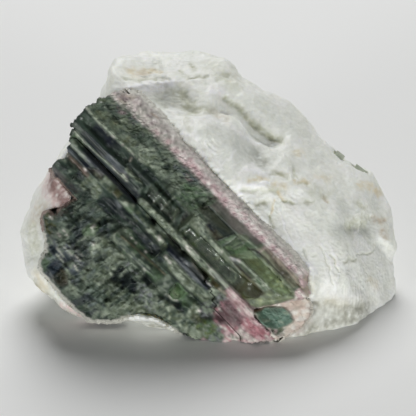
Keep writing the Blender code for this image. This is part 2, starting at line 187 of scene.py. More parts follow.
def value_noise(x, y, seed):
    """Smooth noise from 0 to 1 over a lattice of unit cells."""
    table = np.random.default_rng(seed).random((LATTICE, LATTICE))
    column = np.floor(x).astype(int)
    row = np.floor(y).astype(int)
    u = x - column
    v = y - row
    u = u * u * (3.0 - 2.0 * u)
    v = v * v * (3.0 - 2.0 * v)
    west, east = column % LATTICE, (column + 1) % LATTICE
    south, north = row % LATTICE, (row + 1) % LATTICE
    low = table[west, south] * (1.0 - u) + table[east, south] * u
    high = table[west, north] * (1.0 - u) + table[east, north] * u
    return low * (1.0 - v) + high * v


def fractal(x, y, seed, octaves=3):
    """Noise from 0 to 1 with finer noise on it."""
    total = 0.0
    weight = 0.0
    for octave in range(octaves):
        finer = 2 ** octave
        total = total + value_noise(x * finer, y * finer, seed + octave) / finer
        weight += 1.0 / finer
    return total / weight


def cells(x, y, seed):
    """A random mosaic of unit cells: the depth from a cell's edge, the offset in it and its random values."""
    table = np.random.default_rng(seed).random((5, LATTICE, LATTICE))
    column = np.floor(x).astype(int)
    row = np.floor(y).astype(int)
    nearest = np.full(x.shape, 9.0)
    second = nearest.copy()
    found = np.zeros((5,) + x.shape)
    for i in (-1, 0, 1):
        for j in (-1, 0, 1):
            c, r = (column + i) % LATTICE, (row + j) % LATTICE
            across = x - (column + i + table[0, c, r])
            along = y - (row + j + table[1, c, r])
            away = np.hypot(across, along)
            closer = away < nearest
            second = np.where(closer, nearest, np.minimum(second, away))
            nearest = np.where(closer, away, nearest)
            values = (across, along, table[2, c, r], table[3, c, r], table[4, c, r])
            for k, value in enumerate(values):
                found[k] = np.where(closer, value, found[k])
    return second - nearest, found


def turned_plane(a, b, angle):
    """The coordinates along and across a direction, given in degrees from +a."""
    cosine, sine = math.cos(math.radians(angle)), math.sin(math.radians(angle))
    return a * cosine + b * sine, b * cosine - a * sine


def mix(colours, share):
    """The colours run through from share 0 to share 1."""
    stops = np.linspace(0.0, 1.0, len(colours))
    return np.column_stack([np.interp(share, stops, [colour[i] for colour in colours]) for i in range(3)])


# Textures: each gives a function of (a, b, seed) that returns heights and tints

def mosaic(palette, size, stretch=1.5, turn=0.0, relief=0.2):
    """Broken grains, each with a random tilt and one of the palette's (weight, colour) pairs."""
    steps = np.cumsum([weight for weight, _ in palette]) / sum(weight for weight, _ in palette)
    colours = np.array([colour for _, colour in palette])

    def texture(a, b, seed):
        u, v = turned_plane(a, b, turn)
        u = u / (size * stretch) + 0.4 * fractal(a / size, b / size, seed + 1)
        v = v / size + 0.4 * fractal(a / size, b / size, seed + 2)
        edge, (across, along, pick, lean, shade) = cells(u, v, seed)
        slope = across * np.cos(2.0 * math.pi * lean) + along * np.sin(2.0 * math.pi * lean)
        crack = np.clip(edge / 0.25, 0.0, 1.0)
        height = relief * (0.9 * slope + 0.4 * (shade - 0.5) - 0.3 * (1.0 - crack))
        grain = 0.85 + 0.3 * fractal(a / 0.35, b / 0.25, seed + 5)
        light = (0.86 + 0.28 * shade) * (0.86 + 0.14 * crack) * grain
        return height, colours[np.minimum(np.searchsorted(steps, pick), len(steps) - 1)] * light[:, None]

    return texture


def grooved(colours, line=0.2, run=5.0, turn=0.0, relief=0.06):
    """Lines along the crystal, from the first colour in the grooves to the last on the crests."""
    def texture(a, b, seed):
        u, v = turned_plane(a, b, turn)
        fine = value_noise(u / run, v / line, seed)
        broad = value_noise(u / (0.4 * run), v / (2.7 * line), seed + 1)
        share = np.clip((0.6 * fine + 0.4 * broad - 0.5) * 1.8 + 0.5, 0.0, 1.0)
        return relief * (2.0 * share - 1.0), mix(colours, share)

    return texture


def glassy(colours, size=1.2, stretch=1.5, turn=0.0, relief=0.05):
    """A smooth face with cloudy colours."""
    def texture(a, b, seed):
        u, v = turned_plane(a, b, turn)
        share = np.clip((fractal(u / (size * stretch), v / size, seed, 4) - 0.5) * 2.2 + 0.5, 0.0, 1.0)
        return relief * (2.0 * share - 1.0), mix(colours, share)

    return texture


# The painted sheet

# The sheet's spacing, its lowest height, how ragged its edge is, and how often its colours are averaged
SHEET_STEPS = (0.16, 0.13)
LOWEST = -2.2
EDGE_NOISE = 0.7
TINT_SMOOTHING = 3
HIDDEN_SMOOTHING = 60
# Where the crystals' upper end (a), their upper side (b) and the outer half of the pink edge (b) begin
UPPER_END = -18.0
UPPER_SIDE = 3.5
PINK_SIDE = 4.0
# Walls go down from the sheet's edge to these heights, around the node's own form, which is moved down and in
WALL_FOOT = -4.5
DEEP_FOOT = -8.0
CORE_DROP = 1.0
CORE_INSET = 0.6
# Edges longer than TALL_EDGE get SIDE_ROWS more points, up to SIDE_DENT deep
TALL_EDGE = 1.4
SIDE_ROWS = 7
SIDE_DENT = 0.9
# Where the rock lies beside a sheet, the sheet runs on by SKIRT beyond its outline and slopes down under it
SKIRT = 0.8
SKIRT_START = 0.25
SKIRT_SLOPE = 3.0
GENTLE_SLOPE = 1.2
SEAM = tone(200, 199, 190)
PINK_SEAM = tone(150, 132, 124)
# The see-through layer: spacing, averaging passes, width of its edge, least thickness, how far it sinks in
CLEAR_STEP = 0.2
CLEAR_SMOOTHING = 8
CLEAR_EDGE = 0.6
CLEAR_LEAST = 0.03
CLEAR_SINK = 0.1
# See-through parts of the crystals: outline, thickness, and how much lighter the colours beneath are painted,
# as painted light in place of what the clear layer keeps from them
CLEAR_PARTS = (
    (((1.4, -6.3), (2.0, -4.4), (9.6, -4.1), (13.6, -3.8), (19.0, -3.2), (18.8, -4.8), (17.4, -6.3)), 0.15,
     1.5),
    (((8.4, -2.7), (9.0, 0.2), (13.4, 0.5), (19.5, 0.5), (22.6, 0.2), (21.4, -1.8), (19.2, -2.0),
      (12.6, -1.9), (10.6, -2.9)), 0.12, 2.4),
    (((-7.6, -3.2), (-0.6, -3.5), (-0.4, -6.1), (-7.2, -6.3)), 0.12, 1.2),
    (((7.7, -12.9), (9.9, -12.8), (9.8, -14.4), (9.1, -15.2), (8.1, -15.1), (7.7, -14.2)), 0.3, 1.7),
)
OUTLINE = (
    (-22.9, 3.3), (-23.6, 2.2), (-23.9, 1.2), (-24.0, 0.4), (-24.7, 0.0), (-24.9, -0.7), (-24.6, -1.2),
    (-25.0, -1.9), (-25.3, -2.9), (-25.1, -3.6), (-25.2, -4.4), (-25.0, -6.2), (-24.8, -7.0), (-23.8, -7.1),
    (-23.5, -8.2), (-23.4, -8.7), (-22.6, -9.4), (-22.6, -10.4), (-21.4, -10.9), (-21.3, -11.4),
    (-22.0, -12.6), (-22.1, -13.6), (-22.0, -14.2), (-20.8, -15.1), (-14.9, -15.3), (-15.3, -16.5),
    (-15.4, -18.5), (-15.5, -20.0), (-16.8, -20.5), (-17.0, -21.3), (-15.9, -22.3), (-14.8, -23.0),
    (-13.5, -23.6), (-12.0, -25.1), (-11.6, -26.2), (-11.4, -27.2), (-10.6, -28.0), (-8.0, -28.3),
    (-4.5, -28.4), (-1.0, -28.3), (1.5, -28.0), (2.8, -27.0), (4.2, -25.4), (4.8, -24.4), (6.4, -21.7),
    (9.0, -19.5), (12.1, -18.7), (14.5, -18.3), (15.2, -17.8), (16.3, -17.8), (17.0, -17.1), (18.6, -16.2),
    (19.6, -15.3), (20.6, -14.8), (21.6, -12.8), (24.0, -10.9), (25.8, -8.4), (26.5, -7.3), (24.6, -7.0),
    (21.0, -7.0), (20.2, -6.4), (22.4, -2.8), (24.3, 0.2), (24.9, 1.8), (25.0, 2.8), (24.0, 3.8), (22.4, 4.8),
    (13.0, 5.0), (0.0, 5.0), (-10.0, 5.0), (-16.0, 5.1), (-20.3, 4.9),
)


def bar(a0, a1, b0, b1, slant=0.0):
    """A strip along the crystals. slant moves its upper side along a."""
    return ((a0, b0), (a1, b0), (a1 + slant, b1), (a0 + slant, b1))


def polygon_depth(a, b, outline):
    """Distance of points from the outline, positive inside it."""
    inside = np.zeros(a.shape, bool)
    nearest = np.full(a.shape, 99.0)
    for (a0, b0), (a1, b1) in zip(outline, outline[1:] + outline[:1]):
        if b0 != b1:
            crosses = (b0 > b) != (b1 > b)
            inside ^= crosses & (a < a0 + (b - b0) * (a1 - a0) / (b1 - b0))
        nearest = np.minimum(nearest, segment_distance(a, b, (a0, b0), (a1, b1)))
    return np.where(inside, nearest, -nearest)


def segment_distance(a, b, start, end):
    run, rise = end[0] - start[0], end[1] - start[1]
    share = np.clip(((a - start[0]) * run + (b - start[1]) * rise) / (run * run + rise * rise), 0.0, 1.0)
    return np.hypot(a - start[0] - share * run, b - start[1] - share * rise)


class Sheet:
    """A fine grid over the front. Heights and colours are painted on it, one patch over another.

    lift is a patch's height, soft the width of its edge, ragged how uneven that edge is, and strength how
    much of the patch shows.
    """

    def __init__(self, a_range, b_range, outline, base_heights, ground):
        rows = np.arange(*a_range, SHEET_STEPS[0])
        columns = np.arange(*b_range, SHEET_STEPS[1])
        self.shape = (len(rows), len(columns))
        self.a, self.b = (grid.ravel() for grid in np.meshgrid(rows, columns, indexing="ij"))
        self.z, self.owner = base_heights(self.a, self.b, self.shape)
        self.outline = outline
        self.tint = np.tile(ground, (len(self.a), 1))
        self.seed = 100

    def area(self, outline, texture, lift=0.0, soft=0.25, ragged=0.2, strength=1.0):
        self.paint(outline, 0.0, lambda a, b: polygon_depth(a, b, outline), texture, lift, soft, ragged,
                   strength)

    def stroke(self, points, width, texture, lift=0.05, soft=0.12, ragged=0.08, strength=1.0):
        def depth(a, b):
            ends = zip(points[:-1], points[1:])
            return width / 2.0 - np.min([segment_distance(a, b, start, end) for start, end in ends], axis=0)

        self.paint(points, width, depth, texture, lift, soft, ragged, strength)

    def spot(self, place, size, texture, lift=0.1, strength=1.0):
        a, b = place
        self.stroke(((a - 0.5 * size, b), (a + 0.5 * size, b)), size, texture, lift, 0.15, 0.1, strength)

    def paint(self, points, width, depth_of, texture, lift, soft, ragged, strength):
        self.seed += 10
        margin = width + soft + ragged
        low = np.min(points, axis=0) - margin
        high = np.max(points, axis=0) + margin
        near = np.flatnonzero(
            (self.a > low[0]) & (self.a < high[0]) & (self.b > low[1]) & (self.b < high[1])
        )
        a, b = self.a[near], self.b[near]
        depth = depth_of(a, b) + 2.0 * ragged * (fractal(a / 0.9, b / 0.4, self.seed + 7) - 0.5)
        mask = np.clip(depth / soft + 0.5, 0.0, 1.0)
        height, tint = texture(a, b, self.seed)
        share = (strength * mask)[:, None]
        self.tint[near] = self.tint[near] * (1.0 - share) + tint * share
        self.z[near] += mask * (lift + height)

    def piece(self, name, material, slot, node, owner):
        """The part of the sheet that belongs to a node, with walls down to the node's own form below."""
        depth = polygon_depth(self.a, self.b, self.outline)
        depth = depth + EDGE_NOISE * (fractal(self.a / EDGE_NOISE, self.b / EDGE_NOISE, 55) - 0.5)
        inside = (depth + SKIRT * self.borders_rock() > 0.0) & (self.owner == owner)
        kept = inside.reshape(self.shape)
        grown = grow(kept)
        wall = (grown & ~kept).ravel()
        slope = np.where(self.b > PINK_SIDE, GENTLE_SLOPE, SKIRT_SLOPE)
        z = self.z.reshape(self.shape)
        for _ in range(1 + 2 * owner):
            z = 0.5 * z + 0.5 * around(z)
        z = z.ravel() - slope * np.clip(SKIRT_START - depth, 0.0, None)
        foot = np.where((self.a < 0.0) & (self.b < -12.0), DEEP_FOOT, WALL_FOOT)
        z = np.where(wall, np.minimum(z, foot), z)
        number = np.full(len(self.a), -1)
        used = np.flatnonzero(grown.ravel())
        number[used] = np.arange(len(used))
        quads = squares(number.reshape(self.shape)).reshape(-1, 4)
        quads = quads[(quads >= 0).all(axis=1)]
        top = to_face(np.column_stack([self.a, self.b, z])[used])
        core, faces = node_shape(node)
        core[:, 2] -= CORE_DROP
        along, across = turned_plane(core[:, 0], core[:, 1], CRYSTAL_TURN)
        inward = np.where(along < UPPER_END, CORE_INSET, 0.0), np.where(across > UPPER_SIDE, -CORE_INSET, 0.0)
        core[:, :2] += to_face(np.column_stack([*inward, core[:, 2]]))[:, :2]
        mesh = bpy.data.meshes.new(name)
        points = keep_in_box(to_world(np.vstack([top, core])))
        lower = [[i + len(top) for i in face] for face in faces]
        mesh.from_pydata(points.tolist(), [], quads.tolist() + lower)
        tint = self.softened_tint(depth)
        hidden = self.hidden_tint()
        bare = wall & self.ends_open()
        tint[bare] = hidden[bare]
        tint[wall & self.borders_rock()] = SEAM
        paint_points(mesh, np.vstack([tint[used], hidden[self.nearest(along, across)]]))
        mesh.validate()
        weather_sides(mesh)
        return as_piece(name, mesh, material, slot, node)

    def nearest(self, a, b):
        """The numbers of the sheet's points nearest to places."""
        row = np.clip(np.searchsorted(self.a[::self.shape[1]], a), 0, self.shape[0] - 1)
        column = np.clip(np.searchsorted(self.b[:self.shape[1]], b), 0, self.shape[1] - 1)
        return row * self.shape[1] + column

    def clear_shell(self, outline, thickness):
        """A closed, see-through layer over a part of the sheet: its points and faces."""
        low, high = np.min(outline, axis=0) - CLEAR_STEP, np.max(outline, axis=0) + 2.0 * CLEAR_STEP
        rows, columns = (np.arange(*ends, CLEAR_STEP) for ends in zip(low, high))
        a, b = np.meshgrid(rows, columns, indexing="ij")
        depth = polygon_depth(a, b, outline)
        smooth = self.z.reshape(self.shape)
        for _ in range(CLEAR_SMOOTHING):
            smooth = around(smooth)
        place = self.nearest(a, b)
        below, smooth = self.z[place], smooth.ravel()[place]
        kept = depth > 0.0
        fit = np.column_stack([a[kept], b[kept], np.ones(kept.sum())])
        plane = np.linalg.lstsq(fit, below[kept], rcond=None)[0]
        level = a * plane[0] + b * plane[1] + plane[2] + 0.1 * (fractal(a / 2.5, b / 0.8, 77) - 0.5)
        share = np.clip(depth / CLEAR_EDGE, 0.0, 1.0)
        top = below + share * (np.maximum(level, smooth) + thickness - below)
        top = np.maximum(top, below + CLEAR_LEAST)
        grown = grow(kept)
        upper = np.full(a.shape, -1)
        upper[grown] = np.arange(grown.sum())
        lower = upper.copy()
        lower[kept] = grown.sum() + np.arange(kept.sum())
        quads = []
        for grid, order in ((upper, 1), (lower, -1)):
            quads += squares(grid)[squares(kept).any(axis=-1)][:, ::order].tolist()
        height = np.where(kept, top, below - CLEAR_SINK)
        points = np.vstack([np.column_stack([a[grown], b[grown], height[grown]]),
                            np.column_stack([a[kept], b[kept], below[kept] - CLEAR_SINK])])
        return to_face(points), quads

    def ends_open(self):
        """Where the crystals end in the open, at their upper end and at the foot."""
        x, y, _ = to_face(np.column_stack([self.a, self.b, self.z])).T
        upper_end = (self.a < UPPER_END) & (self.b < PINK_SIDE) & (y > 5.5)
        foot = (y < -21.4) & (x > -3.0) & (x < 12.0)
        return upper_end | foot

    def borders_rock(self):
        """Where the rock lies beside the sheet's edge."""
        beside_teal = (self.a > 19.0) & (self.a < 27.0) & (self.b > -7.8) & (self.b < -2.0)
        return ~(self.ends_open() | beside_teal)

    def hidden_tint(self):
        """Colours for the crystals' sides, which the front doesn't show: the front's, much blurred."""
        tint = self.tint.reshape(*self.shape, 3)
        for _ in range(HIDDEN_SMOOTHING):
            tint = around(tint, 2)
        shade = 0.7 + 0.5 * fractal(self.a / 0.9, self.b / 0.9, 57)
        return (0.55 * tint.reshape(-1, 3) + 0.45 * FOREST) * shade[:, None]

    def softened_tint(self, depth):
        """The painted colours, a little blurred, and paler where the sheet runs in under the rock."""
        tint = self.tint.reshape(*self.shape, 3)
        for _ in range(TINT_SMOOTHING):
            tint = 0.5 * tint + 0.5 * around(tint)
        share = (np.clip((0.1 - depth) / 0.4, 0.0, 0.8) * self.borders_rock())[:, None]
        seam = np.where(((self.a < -15.0) & (self.b < -9.0))[:, None], PINK_SEAM, SEAM)
        return tint.reshape(-1, 3) * (1.0 - share) + seam * share


def weather_sides(mesh):
    """Adds rows of points down the long sides, moved in and tinted unevenly, as broken stone."""
    count = len(mesh.vertices)
    with edited(mesh) as shape:
        tall = [edge for edge in shape.edges if edge.calc_length() > TALL_EDGE * MM]
        bmesh.ops.subdivide_edges(shape, edges=tall, cuts=SIDE_ROWS, use_grid_fill=True)
        shape.normal_update()
        shape.verts.ensure_lookup_table()
        tint = shape.verts.layers.float_color["tint"]
        added = shape.verts[count:]
        x, y, z = np.array([tuple(vertex.co) for vertex in added]).T / MM
        across = x * FACE[0][0] + y * FACE[1][0]
        rough = fractal((across + 0.5 * y) / 0.8, z / 0.6, 91)
        blotch = fractal((across - 0.4 * z) / 1.6, (z + 0.3 * across) / 2.4, 92)
        for vertex, dent, shade in zip(added, rough, blotch):
            vertex.co = keep_in_box(np.array(vertex.co - vertex.normal * (dent * SIDE_DENT * MM)))
            vertex[tint] = vertex[tint] * (0.55 + 0.5 * dent + 0.5 * shade)


def node_shape(name):
    """A CAD node's points in the frame of the face, and its faces."""
    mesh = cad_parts[name].data
    points = np.array([tuple(vertex.co) for vertex in mesh.vertices])
    return from_world(points), [list(face.vertices) for face in mesh.polygons]


def front_heights(a, b, shape):
    """The height of the crystals' CAD solids at each point, and which of them it is, 0 or 1."""
    face = to_face(np.column_stack([a, b, np.full(len(a), 20.0)]))
    heights = np.full((2, len(a)), np.nan)
    for k, name in enumerate(("main_crystal", "side_crystals")):
        points, faces = node_shape(name)
        tree = BVHTree.FromPolygons(points.tolist(), faces)
        for i, origin in enumerate(face.tolist()):
            hit = tree.ray_cast(origin, (0.0, 0.0, -1.0))[0]
            if hit is not None:
                heights[k, i] = hit[2]
    level = np.where(np.isnan(heights), -50.0, heights)
    owner = (level[1] > level[0]).astype(int)
    z = level.max(axis=0).reshape(shape)
    owner = owner.reshape(shape)
    while (z < -10.0).any():
        for shift, axis in ((1, 0), (-1, 0), (1, 1), (-1, 1)):
            empty = z < -10.0
            z = np.where(empty, np.roll(z, shift, axis), z)
            owner = np.where(empty, np.roll(owner, shift, axis), owner)
    for step in range(6):
        z = np.where((owner == 1) | (step < 3), around(z), z)
    return np.maximum(z, LOWEST).ravel(), owner.ravel()


# Painted regions

def scatter(sheet, outline, count, size, direction, pairs, lift, seed, strength=0.9):
    """Broken blocks strewn over a region. size is a block's mean length and width."""
    rng = np.random.default_rng(seed)
    low, high = np.min(outline, axis=0), np.max(outline, axis=0)
    places = rng.uniform(low, high, (4 * count, 2))
    places = places[polygon_depth(places[:, 0], places[:, 1], outline) > 0.0][:count]
    for place in places:
        degrees = direction + rng.normal(0.0, 13.0)
        along = np.array((math.cos(math.radians(degrees)), math.sin(math.radians(degrees))))
        across = np.array((-along[1], along[0])) * 0.5 * size[1] * rng.uniform(0.6, 1.5)
        along = along * 0.5 * size[0] * rng.uniform(0.5, 1.5)
        skew = rng.uniform(-0.4, 0.4) * along
        corners = [tuple(place + offset) for offset in (-along - across - skew, along - across - skew,
                                                        along + across + skew, -along + across + skew)]
        texture = grooved(pairs[rng.integers(len(pairs))], 0.22, 1.4, degrees + rng.choice((0.0, 90.0)), 0.04)
        sheet.area(corners, texture, lift * rng.uniform(-0.6, 1.0), 0.15, 0.08, strength)


def upper_grains(sheet):
    area = sheet.area
    greens = ((3, NIGHT), (5, FOREST), (4, MOSS), (2, SAGE))
    dark = glassy((NIGHT, BOTTLE), 0.5)
    pale = mosaic(((2, MOSS), (4, SAGE), (2, FROST)), 0.4, 1.5, 20.0)
    dust = mosaic(((3, SLATE), (3, MAUVE), (2, FOREST), (1, SAGE)), 0.35, 2.5, 10.0)
    area(bar(-25.8, 1.8, -3.1, 2.8), mosaic(greens, 0.5, 2.4, 48.0, 0.28))
    area(bar(-25.8, 1.8, -3.1, 2.8), mosaic(greens, 0.25, 2.0, 40.0, 0.12), strength=0.4)
    area(((-24.3, -1.8), (-22.5, 0.2), (-22.0, 0.1), (-23.5, -1.9)), dark)
    sheet.stroke(((-21.2, -0.6), (-19.2, -0.5), (-17.9, -1.8)), 0.3, dark, -0.1)
    sheet.stroke(((-17.0, 0.6), (-14.8, 0.9)), 0.4, dark, -0.1)
    area(bar(-12.6, -10.4, 0.5, 1.5), dark, strength=0.7)
    area(bar(-22.6, -19.8, 0.2, 1.3, 0.5), dust, strength=0.8)
    area(bar(-18.6, -16.6, 0.8, 2.0, 0.4), dust, strength=0.8)
    area(((-7.4, 0.2), (-3.6, 0.4), (-1.4, 1.2), (-1.6, 2.2), (-7.2, 2.2)), dust, strength=0.85)
    olive = mosaic(((3, OLIVE), (2, MOSS), (1, SAGE)), 0.4)
    area(bar(-20.4, -18.4, -2.3, -1.0), olive, strength=0.7)
    area(bar(-16.5, -14.6, -2.6, -0.9), olive, strength=0.8)
    area(bar(-23.6, -21.2, -2.5, -1.7), olive, strength=0.7)
    area(((-14.2, -2.3), (-10.6, -2.4), (-8.4, -1.4), (-8.0, -0.2), (-11.6, 0.4), (-14.0, -0.6)), pale)
    area(((-8.8, -0.9), (-7.4, -0.4), (-7.2, 0.3), (-8.2, 0.4)), dark, -0.4)
    area(bar(-8.5, -7.1, -2.4, -1.2, 0.2), glassy((SAGE, FROST), 0.5), 0.25)
    area(((-5.4, -2.7), (-4.4, -2.8), (-3.8, -0.8), (-4.6, -1.0)), glassy((SAGE, FROST), 0.5), 0.25)
    leaf = mosaic(((2, FOREST), (4, LEAF), (2, SAGE)), 0.5, 1.6, 10.0)
    area(((-4.2, -2.9), (0.6, -2.6), (1.2, 0.2), (0.0, 1.8), (-3.8, 0.6)), leaf)
    for place, size in (
        ((-16.3, 1.9), 0.35), ((-8.6, 1.4), 0.5), ((-19.2, -0.2), 0.35), ((-16.9, -3.0), 0.3),
        ((-22.6, -0.6), 0.3), ((-24.4, -2.9), 0.3), ((-12.6, 1.6), 0.3), ((-5.6, 0.2), 0.3),
        ((-18.8, -2.9), 0.3), ((-10.2, -0.3), 0.3),
    ):
        sheet.spot(place, size, glassy((SAGE, FROST), 0.3))
    scales = ((BOTTLE, FOREST), (NIGHT, FOREST), (FOREST, MOSS), (FOREST, SAGE), (MOSS, SAGE),
              (NIGHT, BOTTLE))
    scatter(sheet, bar(-24.6, 1.0, -2.8, 2.0), 230, (1.0, 0.35), 42.0, scales, 0.12, 21, 0.6)
    edge = ((-25.0, -3.0), (-22.0, -3.2), (-18.0, -3.0), (-14.5, -2.75), (-10.8, -2.45))
    sheet.stroke(edge, 0.35, mosaic(((2, SAGE), (3, FROST), (1, CHALK)), 0.3), 0.15)


def dark_facets(sheet):
    area = sheet.area
    facet = (
        (-25.3, -3.4), (-22.0, -3.5), (-14.4, -3.1), (-10.6, -2.75), (-10.4, -5.0), (-12.6, -5.5),
        (-21.0, -5.9), (-25.0, -6.0),
    )
    area(facet, glassy((NIGHT, BOTTLE), 1.0, 2.0), -0.1, 0.12, 0.05)
    area(((-21.8, -3.6), (-16.2, -3.2), (-15.4, -4.0), (-17.6, -4.9), (-21.8, -5.0)), glassy((INK, NIGHT)))
    area(bar(-24.6, -21.9, -5.8, -3.7), glassy((BOTTLE, FOREST), 0.8), 0.0, 0.1, 0.03)
    area(((-17.6, -5.5), (-15.0, -4.0), (-12.2, -4.4), (-11.0, -5.2), (-12.8, -5.6)),
         mosaic(((2, NIGHT), (3, BOTTLE), (2, FOREST)), 0.5), strength=0.8)
    # Painted highlight: a small yellow-white glint
    sheet.stroke(((-13.4, -3.4), (-13.2, -4.0)), 0.25, glassy((SAND, CHALK), 0.2), 0.15)
    sheet.spot((-17.7, -4.8), 0.45, glassy((SLATE, LILAC), 0.3), 0.05, 0.8)


def striated_ribs(sheet):
    area = sheet.area
    lines = grooved((INK, NIGHT, SLATE), 0.16, 5.0, relief=0.08)
    # Painted reflection: a bluish-grey sheen on the crests of the rib's dark striations, and along its bright
    # upper line
    blue_sheen_lines = grooved((INK, SLATE, LILAC), 0.18, 3.0, relief=0.08)
    bright = grooved((SAGE, FROST, CHALK), 0.15, 0.8)
    area(bar(-24.9, -8.2, -6.9, -5.85), lines, 0.0, 0.1, 0.05)
    area(bar(-16.6, -12.0, -6.7, -5.7), blue_sheen_lines, 0.0, 0.3, 0.1, 0.8)
    area(bar(-24.9, -22.4, -6.9, -6.0), grooved((BOTTLE, SAGE), 0.2, 1.0), strength=0.6)
    sheet.stroke(((-22.0, -5.95), (-18.0, -5.8), (-14.5, -5.55), (-12.6, -5.4)), 0.16, blue_sheen_lines, 0.2)
    area(((-12.8, -5.0), (-11.0, -5.2), (-9.2, -4.8), (-8.8, -5.2), (-10.4, -5.7), (-12.8, -5.7)),
         mosaic(((2, MOSS), (3, SAGE), (3, FROST)), 0.3), 0.25)
    area(((-20.4, -7.5), (-12.0, -7.0), (-7.6, -6.8), (-7.4, -7.9), (-20.2, -8.2)), lines, -0.1, 0.12, 0.06)
    area(bar(-8.8, -7.0, -8.2, -6.8), glassy((INK, NIGHT), 0.4), strength=0.8)
    lower = ((-24.0, -7.2), (-20.6, -7.4), (-18.6, -7.3), (-16.4, -7.05), (-13.0, -6.85), (-11.0, -6.7))
    sheet.stroke(lower, 0.22, bright, 0.2)
    area(((-12.8, -6.9), (-12.4, -6.2), (-11.4, -6.5), (-10.9, -7.0)), bright, 0.2)
    smooth = ((-20.2, -8.1), (-12.0, -7.9), (-6.9, -7.9), (-7.4, -8.6), (-13.0, -8.8), (-16.8, -9.2),
              (-20.0, -9.0))
    area(smooth, glassy((tone(56, 60, 64), tone(74, 76, 78)), 0.6, 5.0), 0.0, 0.15, 0.08)
    area(bar(-12.5, -7.2, -8.5, -7.9), grooved((INK, SLATE), 0.2), strength=0.7)
    area(((-23.9, -7.3), (-21.0, -7.4), (-20.6, -8.0), (-21.6, -8.9), (-23.4, -8.9)),
         mosaic(((2, FOREST), (2, LEAF), (2, SAGE), (1, FROST)), 0.4), 0.2)
    area(((-23.0, -8.8), (-19.0, -8.8), (-18.0, -9.5), (-22.8, -9.6)), mosaic(((2, FOREST), (2, SAGE)), 0.4))
    sheet.stroke(((-22.2, -9.25), (-17.8, -9.1)), 0.3, grooved((SLATE, LILAC, FROST), 0.15, 2.0))
    area(bar(-22.5, -16.6, -10.6, -9.5), grooved((INK, NIGHT, SLATE), 0.25, 3.0))
    area(((-17.4, -10.2), (-16.2, -9.0), (-14.6, -8.9), (-14.0, -10.2)), glassy((INK, UMBER), 0.6), -0.2)
    area(bar(-14.3, -11.4, -10.3, -8.7), grooved((FOREST, MOSS, SAGE), 0.35, 2.0, 80.0))
    area(bar(-11.4, -9.9, -10.0, -8.8), glassy((UMBER, OLIVE), 0.7), -0.15, 0.1, 0.05)
    area(((-10.1, -10.3), (-8.9, -9.3), (-7.4, -8.7), (-6.4, -9.3), (-5.9, -10.3)),
         glassy((LEAF, SAGE, FROST), 0.8), 0.35)
    area(((-21.6, -10.7), (-16.2, -10.6), (-16.0, -11.4), (-21.3, -11.4)),
         grooved((tone(92, 76, 68), tone(128, 116, 106)), 0.25, 2.0), strength=0.8)
    sheet.spot((-17.5, -10.6), 0.35, glassy((PETAL, CHALK), 0.3))


def window_facets(sheet):
    stroke = sheet.stroke
    outline = (
        (-10.8, -2.4), (-8.2, -2.5), (-4.6, -2.9), (1.4, -3.1), (2.2, -4.2), (0.8, -6.5), (-7.6, -6.7),
        (-11.2, -6.4), (-10.8, -5.7), (-8.6, -5.3), (-10.6, -4.6),
    )
    sheet.area(outline, glassy((NIGHT, BOTTLE, FOREST), 1.4, 0.6), -0.1)
    sheet.area(bar(-10.6, -7.9, -4.8, -2.7, 0.3), glassy((INK, NIGHT), 0.7), strength=0.8)
    streak = grooved((FOREST, SAGE, FROST), 0.2, 1.5, 85.0)
    stroke(((-8.5, -5.6), (-8.2, -6.5)), 0.25, streak, strength=0.6)
    stroke(((-5.3, -4.4), (-5.1, -6.6)), 0.3, streak, strength=0.5)
    stroke(((-3.5, -2.8), (-3.35, -6.2)), 0.3, streak, strength=0.7)
    stroke(((-1.5, -4.0), (-0.5, -6.4)), 0.6, streak, strength=0.6)
    sheet.area(((-0.3, -3.1), (1.6, -3.2), (1.9, -4.2), (1.0, -5.5), (0.1, -4.8)), glassy((INK, UMBER)), -0.2)


def crests(sheet):
    area, stroke = sheet.area, sheet.stroke
    pale = ((3, MOSS), (4, SAGE), (2, FROST), (2, FOREST))
    area(((-7.5, -6.8), (0.8, -6.5), (1.0, -7.9), (-3.0, -8.1), (-6.6, -8.2), (-7.5, -7.6)),
         mosaic(pale, 0.28, 1.3), 0.2)
    area(((0.8, -6.5), (9.8, -6.6), (9.8, -7.7), (6.8, -7.9), (0.8, -7.9)), mosaic(pale, 0.3, 3.0), 0.2)
    area(((3.2, -6.9), (7.2, -6.9), (7.5, -7.6), (4.2, -7.5)), grooved((SAGE, FROST, CHALK), 0.2, 1.5), 0.1)
    stroke(((1.8, -6.7), (9.6, -6.7)), 0.2, grooved((SAGE, FROST, CHALK), 0.15, 1.5), 0.1)
    area(((9.6, -6.5), (16.0, -6.5), (16.0, -7.3), (9.6, -7.5)), grooved((LILAC, FROST, CHALK), 0.2, 2.0),
         0.2)
    stroke(((10.4, -7.2), (13.6, -7.4)), 0.2, glassy((INK, UMBER)), -0.1)
    area(((0.4, -1.8), (3.4, -1.9), (4.4, -3.0), (8.9, -3.2), (9.6, -4.0), (3.8, -4.1), (2.8, -3.2),
          (0.6, -2.7)), mosaic(pale, 0.3, 1.6, -20.0), 0.25)
    area(((6.2, -3.3), (9.0, -3.2), (9.8, -5.0), (9.2, -4.9), (8.6, -4.0), (6.4, -3.8)),
         mosaic(((2, SAGE), (3, FROST), (1, CHALK)), 0.3), 0.15)
    stroke(((9.4, -3.3), (11.2, -3.4), (13.8, -3.7)), 0.15, grooved((SAGE, FROST), 0.2))
    area(((10.5, -3.1), (11.6, -2.2), (12.7, -2.0), (12.5, -2.5), (11.1, -3.3)), glassy((LILAC, CHALK), 0.4),
         0.2)
    stroke(((12.6, -2.2), (16.0, -2.1), (19.0, -1.9), (21.0, -1.6)), 0.4,
           mosaic(((2, SAGE), (3, FROST)), 0.3), 0.2)
    area(bar(15.8, 18.8, -3.0, -2.1, 0.3), mosaic(((2, LEAF), (3, SAGE), (3, FROST)), 0.3), 0.1)


